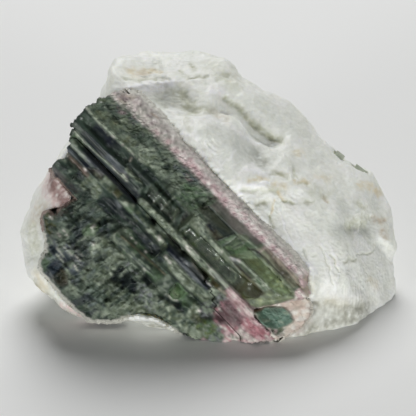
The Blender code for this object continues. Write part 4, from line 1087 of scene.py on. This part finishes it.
def teal_crystal():
    sheet = Sheet((17.8, 30.2), (-9.4, 3.6), TEAL_OUTLINE, hollow_floor, tone(190, 180, 168))
    area = sheet.area
    beige = mosaic(((4, tone(194, 184, 172)), (3, tone(184, 170, 160)), (2, CHALK)), 0.6, 1.5, 40.0, 0.12)
    area(TEAL_OUTLINE, beige, 0.0, 0.4)
    # Painted shade: a darker beige patch in the hollow beside the prism's end
    area(((22.2, -1.4), (24.0, 0.8), (25.6, 0.6), (24.4, -1.6), (23.4, -2.2)),
         glassy((tone(160, 144, 132), tone(176, 160, 148))), -0.1, 0.8, strength=0.7)
    crystal = (
        (20.2, -6.6), (20.4, -5.6), (21.8, -3.9), (23.3, -2.5), (24.6, -2.3), (26.2, -2.9), (26.0, -4.4),
        (25.2, -6.0), (24.2, -7.0), (22.2, -7.2),
    )
    lagoon = ((3, tone(84, 108, 96)), (3, LAGOON), (3, tone(108, 130, 118)), (1, FROST))
    area(crystal, mosaic(lagoon, 0.4, 1.5, 30.0, 0.2), 0.7, 0.3, 0.15)
    area(crystal, glassy((tone(74, 98, 84), tone(104, 126, 114)), 0.8, 1.8, 30.0), strength=0.5)
    area(((21.0, -5.3), (21.6, -4.2), (23.2, -2.9), (23.8, -3.3), (22.4, -4.8)),
         glassy((tone(62, 84, 72), FOREST), 0.5), -0.1, 0.3, strength=0.7)
    area(((19.6, -6.8), (20.3, -5.3), (20.9, -4.9), (21.0, -5.8), (20.4, -6.6)), glassy((RUST, UMBER), 0.4),
         -0.2, 0.3)
    area(((23.8, -7.0), (25.2, -6.0), (26.0, -4.8), (26.8, -5.4), (26.4, -6.6), (25.2, -7.2)),
         mosaic(((3, PETAL), (2, CHALK), (2, SAGE), (1, MOSS)), 0.35), 0.1)
    return sheet


# The rock

ROCK_VOXEL = 0.5
LIP = 0.5                 # closes the gap between the rock and the crystals
LIP_REACH = 0.8
UPWARD = (0.891, 0.454)   # how far y and z in the frame of the face point upwards
FOOT_LEVEL = -22.8        # where the rock's flat foot lies along that direction
ALBITE = tone(219, 221, 214)
DULL = tone(204, 207, 198)
SNOW = tone(232, 233, 228)
STAIN_AND_SHADE_TINTS = {
    "olive": tone(172, 173, 150), "moss": tone(192, 194, 176), "grey": tone(199, 202, 195),
    "white": tone(236, 237, 231), "ochre": tone(210, 201, 174), "brown": tone(190, 180, 162),
    "blush": tone(208, 190, 186), "bruise": tone(132, 108, 104), "dusk": tone(158, 158, 146),
}
# A thin pale blade: the first four values of a mark
BLADE = ("white", 0.5, 0.06, 0.22)
# Marks on the rock's front, in the frame of the face: tint, strength, height, half-width, line of (x, y). The
# olive, moss and dusk tints, and the grey ones in hollows, are painted shade: darker in the grooves, the
# hollows and on the undersides.
MARKS = (
    # The long groove, the round lobe beside it and the hollow at its upper end, with painted shade in the
    # groove and the hollow
    ("moss", 0.9, -0.45, 0.6, ((4.8, 17.8), (5.9, 16.9), (7.9, 15.0), (10.3, 12.9), (12.6, 11.0),
                               (14.4, 10.3))),
    ("olive", 0.5, -0.3, 0.4, ((9.0, 13.9), (11.0, 12.0), (13.2, 10.8))),
    ("grey", 0.3, 0.5, 1.6, ((8.0, 17.8), (12.4, 14.6), (16.0, 12.2))),
    ("moss", 0.9, -0.4, 1.3, ((-3.0, 18.2), (-2.4, 16.6), (-1.4, 15.8))),
    ("olive", 0.5, -0.3, 0.8, ((-1.6, 16.0), (0.3, 15.7), (2.0, 15.6))),
    ("brown", 0.5, -0.3, 0.7, ((2.2, 15.4), (4.5, 14.4))),
    ("moss", 0.7, -0.3, 0.9, ((-4.6, 19.2), (-3.2, 18.6))),
    ("moss", 0.6, -0.2, 0.9, ((-7.0, 17.2), (-6.4, 16.2))),
    # Stains, and dark lines of painted shade, along the top
    ("ochre", 1.0, 0.0, 0.6, ((-11.6, 22.4), (-10.0, 22.6), (-8.6, 22.9))),
    ("brown", 0.7, 0.0, 0.5, ((-10.6, 22.3), (-9.8, 22.5))),
    ("ochre", 0.6, 0.0, 0.5, ((-8.6, 23.0), (-7.1, 22.8))),
    ("olive", 0.6, -0.3, 0.4, ((-12.4, 21.0), (-10.4, 21.3), (-8.2, 21.4))),
    ("moss", 0.6, -0.2, 0.3, ((-8.2, 21.3), (-5.6, 21.0))),
    ("olive", 0.8, -0.4, 0.35, ((-1.8, 21.6), (-0.6, 21.8), (1.2, 21.9))),
    ("moss", 0.6, -0.2, 0.4, ((-3.6, 23.0), (-2.2, 21.9))),
    ("olive", 0.8, -0.2, 0.5, ((-1.4, 23.9), (-1.1, 23.5))),
    ("moss", 0.6, -0.3, 0.6, ((3.4, 21.6), (5.6, 22.0))),
    ("moss", 0.4, 0.0, 1.4, ((2.0, 24.0), (6.0, 20.6))),
    ("white", 0.9, 0.4, 0.5, ((-12.6, 19.8), (-10.2, 20.2), (-7.0, 20.4), (-4.3, 20.6))),
    ("white", 0.8, 0.2, 0.6, ((-9.6, 19.4), (-7.0, 19.7))),
    ("white", 0.8, 0.3, 0.9, ((1.8, 19.2), (3.2, 18.8))),
    ("grey", 0.5, -0.1, 1.6, ((-6.4, 17.6), (-5.0, 15.4))),
    # The smooth face in the middle and what frames it
    ("white", 0.5, 0.25, 0.6, ((-5.4, 15.4), (-2.2, 14.0), (1.4, 14.2), (3.6, 13.8))),
    ("grey", 0.5, 0.0, 3.0, ((1.6, 11.6), (6.4, 9.8))),
    ("grey", 0.9, -0.3, 1.6, ((9.0, 8.2), (11.0, 6.6))),
    ("dusk", 0.35, -0.2, 0.9, ((9.6, 7.6), (11.2, 6.4))),
    ("white", 0.5, 0.2, 0.5, ((4.4, 13.4), (7.6, 11.0), (10.4, 9.8))),
    ("moss", 0.5, -0.2, 0.5, ((-2.4, 14.4), (-1.9, 11.8))),
    (*BLADE, ((-0.9, 12.2), (0.2, 9.0), (1.2, 6.6))),
    (*BLADE, ((0.6, 10.2), (2.2, 7.4), (3.2, 5.2))),
    (*BLADE, ((2.0, 9.0), (3.2, 6.8), (4.0, 5.0))),
    (*BLADE, ((-0.4, 9.6), (0.8, 7.0), (2.0, 5.2))),
    (*BLADE, ((2.6, 5.0), (4.2, 6.4), (6.4, 8.8))),
    (*BLADE, ((5.6, 3.4), (6.6, 4.6), (8.2, 5.4))),
    # The ragged belt below it
    ("white", 0.9, 0.35, 0.5, ((6.6, 2.4), (9.0, 2.6), (12.0, 2.6))),
    ("white", 0.8, 0.3, 0.5, ((6.4, 0.8), (8.6, 1.4))),
    ("white", 0.7, 0.3, 0.6, ((8.2, 5.2), (10.4, 4.6), (12.6, 4.4))),
    ("ochre", 0.7, 0.0, 0.4, ((8.6, 3.4), (10.2, 3.6), (11.6, 3.3))),
    ("ochre", 0.6, 0.0, 0.6, ((13.0, 2.6), (14.6, 2.2))),
    ("olive", 0.7, -0.4, 0.5, ((12.4, 4.6), (13.4, 4.7), (15.2, 4.0))),
    ("moss", 0.7, -0.3, 0.5, ((16.4, 5.8), (16.6, 4.2))),
    ("ochre", 0.8, -0.1, 0.45, ((16.6, 3.3), (18.2, 3.4), (19.0, 3.0))),
    ("olive", 0.5, -0.2, 0.4, ((17.4, 3.0), (18.8, 2.8))),
    ("olive", 0.8, -0.3, 0.45, ((10.0, -0.4), (11.0, -0.4))),
    ("moss", 0.6, -0.2, 0.6, ((7.6, 1.8), (11.0, 1.6), (14.0, 1.8))),
    ("ochre", 0.8, -0.1, 0.25, ((13.6, 1.4), (13.9, 0.4), (14.4, -0.1))),
    ("olive", 0.7, -0.2, 0.3, ((14.4, -0.2), (16.4, -0.4))),
    ("ochre", 0.8, -0.1, 0.2, ((12.5, 0.2), (12.3, -1.0), (12.3, -2.2))),
    ("olive", 0.7, -0.3, 0.35, ((12.2, -2.8), (12.5, -4.8))),
    ("olive", 0.6, -0.3, 0.5, ((18.4, -0.2), (19.4, -0.6))),
    ("ochre", 0.5, -0.1, 0.6, ((16.8, 8.4), (17.6, 8.2))),
    ("ochre", 0.4, 0.0, 0.8, ((20.6, 4.0), (22.4, 3.6))),
    ("brown", 0.8, -0.3, 0.35, ((21.6, 0.8), (22.4, -0.4))),
    ("moss", 0.5, -0.2, 0.9, ((20.0, 1.6), (22.0, 1.0))),
    # The right shoulder
    ("ochre", 0.7, 0.0, 0.7, ((28.4, 2.6), (30.4, 2.4), (32.2, 1.2))),
    ("moss", 0.6, -0.2, 0.6, ((27.8, -0.4), (29.2, -1.4))),
    ("brown", 0.8, -0.3, 0.6, ((30.6, -3.2), (32.6, -3.6))),
    ("brown", 0.6, -0.1, 0.7, ((32.4, -5.6), (32.8, -6.6))),
    ("grey", 0.8, -0.5, 1.6, ((25.6, -4.4), (29.4, -5.4))),
    ("moss", 0.7, -0.3, 1.1, ((26.6, -4.4), (29.0, -3.6))),
    ("grey", 0.6, -0.2, 1.2, ((23.6, -5.0), (24.4, -6.6))),
    ("grey", 0.5, -0.2, 1.2, ((24.0, 0.8), (25.4, -1.4))),
    (*BLADE, ((26.8, -7.6), (27.2, -6.0), (28.2, -5.2))),
    (*BLADE, ((27.4, -5.6), (29.4, -7.4), (30.0, -8.6))),
    ("olive", 0.5, -0.2, 0.25, ((25.0, -10.8), (26.4, -10.2), (27.4, -10.4))),
    ("olive", 0.4, -0.2, 0.2, ((27.6, -9.6), (30.8, -9.0))),
    ("grey", 0.6, -0.2, 0.8, ((31.6, -8.2), (32.4, -10.0))),
    # The fan of blades and the lower right, with painted shade low down
    (*BLADE, ((20.6, -6.8), (22.6, -10.6), (23.4, -15.0))),
    (*BLADE, ((21.8, -7.2), (23.8, -10.8), (24.2, -13.6))),
    ("moss", 0.5, -0.12, 0.14, ((20.8, -8.0), (22.2, -11.4), (22.9, -14.4))),
    ("moss", 0.5, -0.12, 0.14, ((22.6, -9.4), (23.9, -12.4))),
    ("dusk", 0.6, -0.3, 0.3, ((17.8, -8.8), (18.4, -10.0))),
    (*BLADE, ((13.6, -1.6), (15.0, -5.6), (16.8, -10.4))),
    (*BLADE, ((12.8, -5.2), (14.6, -8.0), (16.4, -10.6))),
    (*BLADE, ((14.6, -4.6), (15.6, -7.6), (17.2, -9.8))),
    ("white", 0.8, 0.4, 0.9, ((18.2, -11.4), (19.2, -12.0))),
    ("white", 0.5, 0.2, 0.9, ((22.0, -16.4), (25.0, -16.6), (28.0, -16.8))),
    ("ochre", 0.4, 0.0, 0.9, ((22.0, -17.4), (25.0, -18.2))),
    ("ochre", 0.4, 0.0, 0.8, ((30.0, -14.2), (31.0, -15.0))),
    ("dusk", 0.7, -0.3, 0.6, ((25.4, -19.0), (28.0, -18.6))),
    ("dusk", 0.5, 0.0, 2.2, ((18.0, -18.8), (23.2, -18.6), (28.4, -18.6))),
    ("dusk", 0.7, -0.1, 1.5, ((15.0, -23.6), (19.0, -22.4), (23.6, -21.4), (28.0, -20.0))),
    ("dusk", 0.8, -0.4, 0.3, ((18.4, -16.8), (19.0, -17.8), (20.2, -18.0))),
    ("moss", 0.6, -0.1, 0.8, ((18.4, -14.2), (19.0, -15.2))),
    ("blush", 0.8, 0.0, 1.1, ((17.8, -18.0), (17.6, -21.0))),
    ("blush", 0.7, 0.0, 0.9, ((17.0, -22.2), (14.4, -22.8))),
    # The left side, with painted shade along its underside
    ("blush", 1.0, 0.0, 2.0, ((-26.0, 4.0), (-25.2, 1.4), (-23.4, -1.6))),
    ("bruise", 0.6, -0.2, 1.2, ((-25.0, 3.2), (-24.2, 1.0), (-23.0, -0.6))),
    ("bruise", 0.8, -0.1, 0.4, ((-22.6, 1.2), (-23.6, 2.6))),
    ("bruise", 0.8, 0.0, 0.9, ((-25.6, 3.0), (-25.0, 1.2), (-23.6, -0.4))),
    ("dusk", 0.7, 0.0, 0.9, ((-28.8, -14.4), (-25.6, -18.2), (-21.0, -20.8), (-15.0, -21.8), (-6.0, -21.8))),
    ("blush", 0.8, 0.0, 0.5, ((-24.2, -18.4), (-21.4, -19.8), (-18.0, -21.4))),
    ("brown", 0.5, 0.0, 1.2, ((-27.8, -1.0), (-28.6, -3.6))),
    ("moss", 0.6, -0.2, 1.2, ((-29.4, -5.0), (-28.8, -9.0))),
    ("ochre", 0.4, 0.0, 0.9, ((-28.4, -13.0), (-27.4, -16.0))),
    ("blush", 0.8, 0.0, 0.7, ((-21.0, -20.0), (-17.0, -21.2))),
    ("dusk", 0.5, -0.1, 0.7, ((-17.4, -20.6), (-12.0, -21.2))),
    ("blush", 0.5, 0.0, 0.6, ((-12.6, 18.8), (-14.0, 18.0))),
)
MARK_RELIEF = 0.7
# Fans of albite blades: x, y, direction in degrees, reach
FANS = (
    (1.4, 8.0, -66.0, 3.6), (5.0, 6.4, 50.0, 2.4), (10.0, 17.0, -36.0, 4.0), (-6.0, 20.2, 4.0, 3.6),
    (22.4, -10.8, -66.0, 3.6), (15.0, -6.4, -66.0, 3.4), (9.4, 2.2, 4.0, 3.4), (28.0, -7.0, 56.0, 2.6),
    (-2.2, 13.4, -80.0, 1.8), (26.0, -16.0, 16.0, 3.4),
)
# How the rock's outline is drawn in or out: middle, way and reach
SHIFTS = (
    ((-18.6, 17.0), (1.4, -1.0), 3.0),
    ((-13.6, 23.6), (-1.5, 0.9), 2.6),
)


def rock():
    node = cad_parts["albite_matrix"]
    mesh = node.data.copy()
    with edited(mesh) as shape:
        bmesh.ops.remove_doubles(shape, verts=shape.verts, dist=1e-7)
    helper = bpy.data.objects.new("rock_helper", mesh)
    bpy.context.scene.collection.objects.link(helper)
    remesh = helper.modifiers.new("even", "REMESH")
    remesh.mode = "VOXEL"
    remesh.voxel_size = ROCK_VOXEL * MM
    soften = helper.modifiers.new("soften", "SMOOTH")
    soften.factor = 0.5
    soften.iterations = 8
    bpy.context.view_layer.update()
    surface = bpy.data.meshes.new_from_object(helper.evaluated_get(bpy.context.evaluated_depsgraph_get()))
    bpy.data.objects.remove(helper)
    refine_front(surface)
    roughen(surface)
    surface.name = "rock"
    surface.materials.clear()
    return surface


def face_points(mesh):
    """The mesh's points and normals in the frame of the face."""
    points, normals = np.empty((2, 3 * len(mesh.vertices)))
    mesh.vertices.foreach_get("co", points)
    mesh.vertices.foreach_get("normal", normals)
    lean = np.array(FACE.inverted())[:3, :3] * MM
    return from_world(points.reshape(-1, 3)), normals.reshape(-1, 3) @ lean.T


def crystal_depth(points):
    """How far points lie inside the crystals' outline, seen from the front."""
    along, across = turned_plane(points[:, 0], points[:, 1], CRYSTAL_TURN)
    return polygon_depth(along, across, OUTLINE)


def refine_front(mesh):
    """Halves the edges of the faces that the front shows."""
    points, normals = face_points(mesh)
    covered = (crystal_depth(points) > 0.8) & (points[:, 2] < -1.0)
    wanted = (normals[:, 2] > 0.1) & ~covered
    with edited(mesh) as shape:
        edges = [edge for edge in shape.edges if all(wanted[vertex.index] for vertex in edge.verts)]
        bmesh.ops.subdivide_edges(shape, edges=edges, cuts=1, use_grid_fill=True)


def blades(points):
    """How strongly albite blades show at each point, and their direction there in radians."""
    cosine = np.full(len(points), 1e-6)
    sine = np.zeros(len(points))
    for x, y, degrees, reach in FANS:
        weight = np.exp(-((points[:, 0] - x) ** 2 + (points[:, 1] - y) ** 2) / (reach * reach))
        spread = 0.05 * ((points[:, 0] - x) + (points[:, 1] - y))
        cosine += weight * np.cos(2.0 * (math.radians(degrees) + spread))
        sine += weight * np.sin(2.0 * (math.radians(degrees) + spread))
    return np.clip(np.hypot(cosine, sine), 0.0, 1.0), 0.5 * np.arctan2(sine, cosine)


def lumps(points, size, seed):
    """Noise from about -1 to 1 with features of a size in millimetres."""
    offset = 17.3 * seed
    return np.array([noise.noise((x / size + offset, y / size, z / size)) for x, y, z in points.tolist()])


def broken_surface(points):
    """Heights of the rock's breaks, all over it, and of its fine grain alone."""
    shows, angle = blades(points)
    along = points[:, 0] * np.cos(angle) + points[:, 1] * np.sin(angle)
    across = points[:, 1] * np.cos(angle) - points[:, 0] * np.sin(angle)
    blade = lumps(np.column_stack([along / 3.6, across / 0.42, points[:, 2] / 3.0]), 1.0, 1)
    coarse = lumps(points, 4.6, 2)
    middle = lumps(points, 1.9, 3)
    # Sharp crests where two breaks meet
    crest = 0.5 - np.abs(lumps(points, 2.7, 4))
    splinter = 0.5 - np.abs(lumps(points * (1.0, 1.6, 1.0), 1.1, 5))
    grain = lumps(points, 0.55, 6)
    fine = 0.10 * splinter + 0.04 * grain + 0.09 * shows * blade
    return 0.2 * coarse + 0.1 * middle + 0.14 * crest + fine, fine


def crystal_shadow(depth):
    """The rock's rise towards the crystals' edge, which closes the gap beside them."""
    return LIP * np.exp(-(depth / LIP_REACH) ** 2)


def roughen(mesh):
    points, normals = face_points(mesh)
    heights, fine = broken_surface(points)
    cloud = lumps(points, 3.1, 7) + 0.5 * lumps(points, 1.2, 8)
    # Painted shade and light: the rock's colour runs darker in its hollows and paler on its crests and
    # splinters, over a random cloudy tone
    light = np.clip(0.5 + 0.26 * cloud + 0.35 * heights + 1.8 * fine, 0.0, 1.0)
    tint = mix((DULL, ALBITE, SNOW), light)
    front = np.clip((normals[:, 2] + 0.2) / 0.5, 0.0, 1.0)
    ragged = lumps(points, 0.9, 9) + 0.6 * lumps(points, 0.4, 10)
    x = points[:, 0] + 0.5 * lumps(points, 1.3, 12)
    y = points[:, 1] + 0.5 * lumps(points, 1.3, 13)
    heights *= 1.0 + 0.8 * (1.0 - front)
    # Each mark lays its tint and its height along its line: a stain, a pale blade, or painted shade in a
    # groove or hollow
    for tint_name, strength, height, half_width, line in MARKS:
        near = np.min([segment_distance(x, y, start, end)
                       for start, end in zip(line[:-1], line[1:])], axis=0)
        share = np.exp(-(near / half_width) ** 2) * front
        heights += MARK_RELIEF * height * share
        share = np.clip(strength * share * (1.0 + 0.9 * ragged), 0.0, 1.0)[:, None]
        tint = tint * (1.0 - share) + STAIN_AND_SHADE_TINTS[tint_name] * share
    elsewhere = (1.0 - front) * np.clip(1.4 * lumps(points, 5.0, 11) + 0.2 * ragged - 0.2, 0.0, 0.8)
    tint = tint + (STAIN_AND_SHADE_TINTS["ochre"] - tint) * elsewhere[:, None]
    lip = crystal_shadow(crystal_depth(points)) * (points[:, 2] > -5.0)
    for middle, way, reach in SHIFTS:
        share = np.exp(-np.sum((points[:, :2] - middle) ** 2, axis=1) / reach ** 2)
        points[:, :2] += share[:, None] * way
    above_foot = np.clip(points[:, 2] * UPWARD[1] + points[:, 1] * UPWARD[0] - FOOT_LEVEL, 0.0, 1.0)
    world = keep_in_box(to_world(points + normals * ((heights + lip) * above_foot)[:, None]))
    mesh.vertices.foreach_set("co", world.ravel())
    paint_points(mesh, tint)
    mesh.update()


def rear_crystal(name):
    """A rear crystal's own form, broken a little and painted pale all over, unevenly with its bumps: painted
    light, so that the dark crystal shows lit.
    """
    points, faces = node_shape(name)
    mesh = bpy.data.meshes.new(name + "_broken")
    mesh.from_pydata(points.tolist(), [], faces)
    with edited(mesh) as shape:
        bmesh.ops.remove_doubles(shape, verts=shape.verts, dist=1e-4)
        bmesh.ops.subdivide_edges(shape, edges=shape.edges, cuts=3, use_grid_fill=True)
    points = np.array([tuple(vertex.co) for vertex in mesh.vertices])
    middle = points.mean(axis=0)
    bumps = lumps(points, 0.6, 14)
    points = middle + (points - middle) * (0.94 + 0.08 * bumps)[:, None]
    mesh.vertices.foreach_set("co", keep_in_box(to_world(points)).ravel())
    # Painted light: the dark crystal's colour is raised to pale greens
    paint_points(mesh, mix((FROST, tone(176, 182, 166), tone(196, 198, 186)), 0.5 + 0.5 * bumps))
    mesh.update()
    return mesh


# Materials

TOURMALINE_IOR = 1.63


def new_material(name):
    material = bpy.data.materials.new(name)
    material.use_nodes = True
    tree = material.node_tree
    return material, tree, tree.nodes["Principled BSDF"]


def add_node(tree, kind, **settings):
    node = tree.nodes.new(kind)
    for key, value in settings.items():
        if key in node.inputs:
            node.inputs[key].default_value = value
        else:
            setattr(node, key, value)
    return node


def set_inputs(node, values):
    for key, value in values.items():
        node.inputs[key].default_value = value


def tinted_material(name, roughness, scale, contrast, bump_depth):
    """Shows the colours painted on the mesh, with fine noise over them: scale is in its features a metre."""
    material, tree, shader = new_material(name)
    tint = add_node(tree, "ShaderNodeAttribute", attribute_name="tint")
    place = add_node(tree, "ShaderNodeTexCoord")
    fine = add_node(tree, "ShaderNodeTexNoise", Scale=scale, Detail=4.0, Roughness=0.6)
    light = add_node(tree, "ShaderNodeMapRange")
    set_inputs(light, {"From Min": 0.3, "From Max": 0.7, "To Min": 1.0 - contrast, "To Max": 1.0 + contrast})
    scaled = add_node(tree, "ShaderNodeVectorMath", operation="SCALE")
    bump = add_node(tree, "ShaderNodeBump", Strength=0.4, Distance=bump_depth)
    for source, target in (
        (place.outputs["Object"], fine.inputs["Vector"]), (fine.outputs["Fac"], light.inputs["Value"]),
        (tint.outputs["Color"], scaled.inputs[0]), (light.outputs["Result"], scaled.inputs["Scale"]),
        (scaled.outputs["Vector"], shader.inputs["Base Color"]), (fine.outputs["Fac"], bump.inputs["Height"]),
        (bump.outputs["Normal"], shader.inputs["Normal"]),
    ):
        tree.links.new(source, target)
    shader.inputs["Roughness"].default_value = roughness
    return material, shader


def crystal_material():
    material, shader = tinted_material(
        "green tourmaline", roughness=0.42, scale=1400.0, contrast=0.14, bump_depth=0.00004)
    set_inputs(shader, {"IOR": TOURMALINE_IOR, "Specular IOR Level": 0.2})
    return material


def clear_material():
    material, tree, shader = new_material("clear tourmaline")
    set_inputs(shader, {
        "Base Color": (0.88, 0.93, 0.81, 1.0), "Roughness": 0.12, "Specular Tint": (0.35, 0.38, 0.35, 1.0),
        "IOR": TOURMALINE_IOR, "Transmission Weight": 1.0,
    })
    absorb = add_node(tree, "ShaderNodeVolumeAbsorption", Color=(0.53, 0.61, 0.43, 1.0), Density=500.0)
    tree.links.new(absorb.outputs["Volume"], tree.nodes["Material Output"].inputs["Volume"])
    return material


def rock_material():
    material, shader = tinted_material(
        "white albite", roughness=0.55, scale=1100.0, contrast=0.06, bump_depth=0.00012)
    set_inputs(shader, {
        "Subsurface Weight": 0.5, "Subsurface Radius": (0.0014, 0.0013, 0.0011), "Subsurface Scale": 1.0,
    })
    return material


def plain_material(name, colour, roughness):
    material, _, shader = new_material(name)
    set_inputs(shader, {"Base Color": (*colour, 1.0), "Roughness": roughness})
    return material


# The studio

FLOOR_REACH = 2.0
AMBIENT = 0.06
LIGHT_DISTANCE = 1.4
LIGHT_TARGET = (0.0, 0.0, 0.015)
# Name, turn from straight behind, height in degrees, size in metres, power
LIGHTS = (
    ("behind", -4.0, 50.0, 0.75, 16.4),
    ("left", -148.0, 4.0, 0.4, 11.0),
    ("right", 148.0, 4.0, 0.4, 10.6),
)


def studio():
    floor_mesh = bpy.data.meshes.new("floor")
    corners = [(x * FLOOR_REACH, y * FLOOR_REACH, 0) for x, y in ((-1, -1), (1, -1), (1, 1), (-1, 1))]
    floor_mesh.from_pydata(corners, [], [(0, 1, 2, 3)])
    floor = bpy.data.objects.new("floor", floor_mesh)
    floor_mesh.materials.append(plain_material("pale floor", (0.86, 0.865, 0.855), 0.8))
    bpy.context.scene.collection.objects.link(floor)

    for name, turn, height, size, power in LIGHTS:
        reach = LIGHT_DISTANCE * math.cos(math.radians(height))
        place = (reach * math.sin(math.radians(turn)), reach * math.cos(math.radians(turn)),
                 LIGHT_DISTANCE * math.sin(math.radians(height)))
        add_area_light(name, place, size, power)
    world = bpy.data.worlds.new("studio")
    world.use_nodes = True
    set_inputs(world.node_tree.nodes["Background"], {"Color": (0.97, 0.99, 1.0, 1.0), "Strength": AMBIENT})
    bpy.context.scene.world = world
    bpy.context.scene.view_settings.view_transform = "Standard"


def add_area_light(name, place, size, power):
    light = bpy.data.lights.new(name, "AREA")
    light.shape = "DISK"
    light.size = size
    light.energy = power
    obj = bpy.data.objects.new(name, light)
    obj.location = place
    obj.rotation_euler = (Vector(LIGHT_TARGET) - Vector(place)).to_track_quat("-Z", "Y").to_euler()
    bpy.context.scene.collection.objects.link(obj)


def add_camera():
    lens = bpy.data.cameras.new("camera")
    lens.sensor_width = SENSOR_WIDTH
    lens.lens = SENSOR_WIDTH * CAMERA_DISTANCE / FRAME_WIDTH
    lens.clip_start = 0.01
    camera = bpy.data.objects.new("camera", lens)
    camera.location = FACE @ (VIEW_CENTRE + Vector((0.0, 0.0, CAMERA_DISTANCE)))
    camera.rotation_euler = (math.radians(90.0 - FACE_ELEVATION), 0.0, 0.0)
    bpy.context.scene.collection.objects.link(camera)
    bpy.context.scene.camera = camera


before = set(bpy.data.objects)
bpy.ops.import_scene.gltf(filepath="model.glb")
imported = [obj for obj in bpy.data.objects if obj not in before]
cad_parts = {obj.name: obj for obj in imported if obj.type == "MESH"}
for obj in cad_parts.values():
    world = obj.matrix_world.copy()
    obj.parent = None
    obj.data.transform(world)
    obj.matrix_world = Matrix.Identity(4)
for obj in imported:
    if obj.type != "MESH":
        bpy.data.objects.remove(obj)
CAD_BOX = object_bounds()
FACE = face_matrix()

add_camera()
studio()
green = crystal_material()
painted = crystals()
as_piece("clear_tourmaline", clear_parts(painted), clear_material(), "green_tourmaline")
painted.piece("main_crystal_surface", green, "green_tourmaline", "main_crystal", 0)
painted.piece("side_crystals_surface", green, "green_tourmaline", "side_crystals", 1)
teal_crystal().piece("teal_crystal_surface", green, "teal_tourmaline", "teal_crystal", 0)
as_piece("rock_surface", rock(), rock_material(), "albite", "albite_matrix")
for name in ("rear_crystal_upper", "rear_crystal_lower"):
    as_piece(name + "_surface", rear_crystal(name), green, "dark_tourmaline", name)
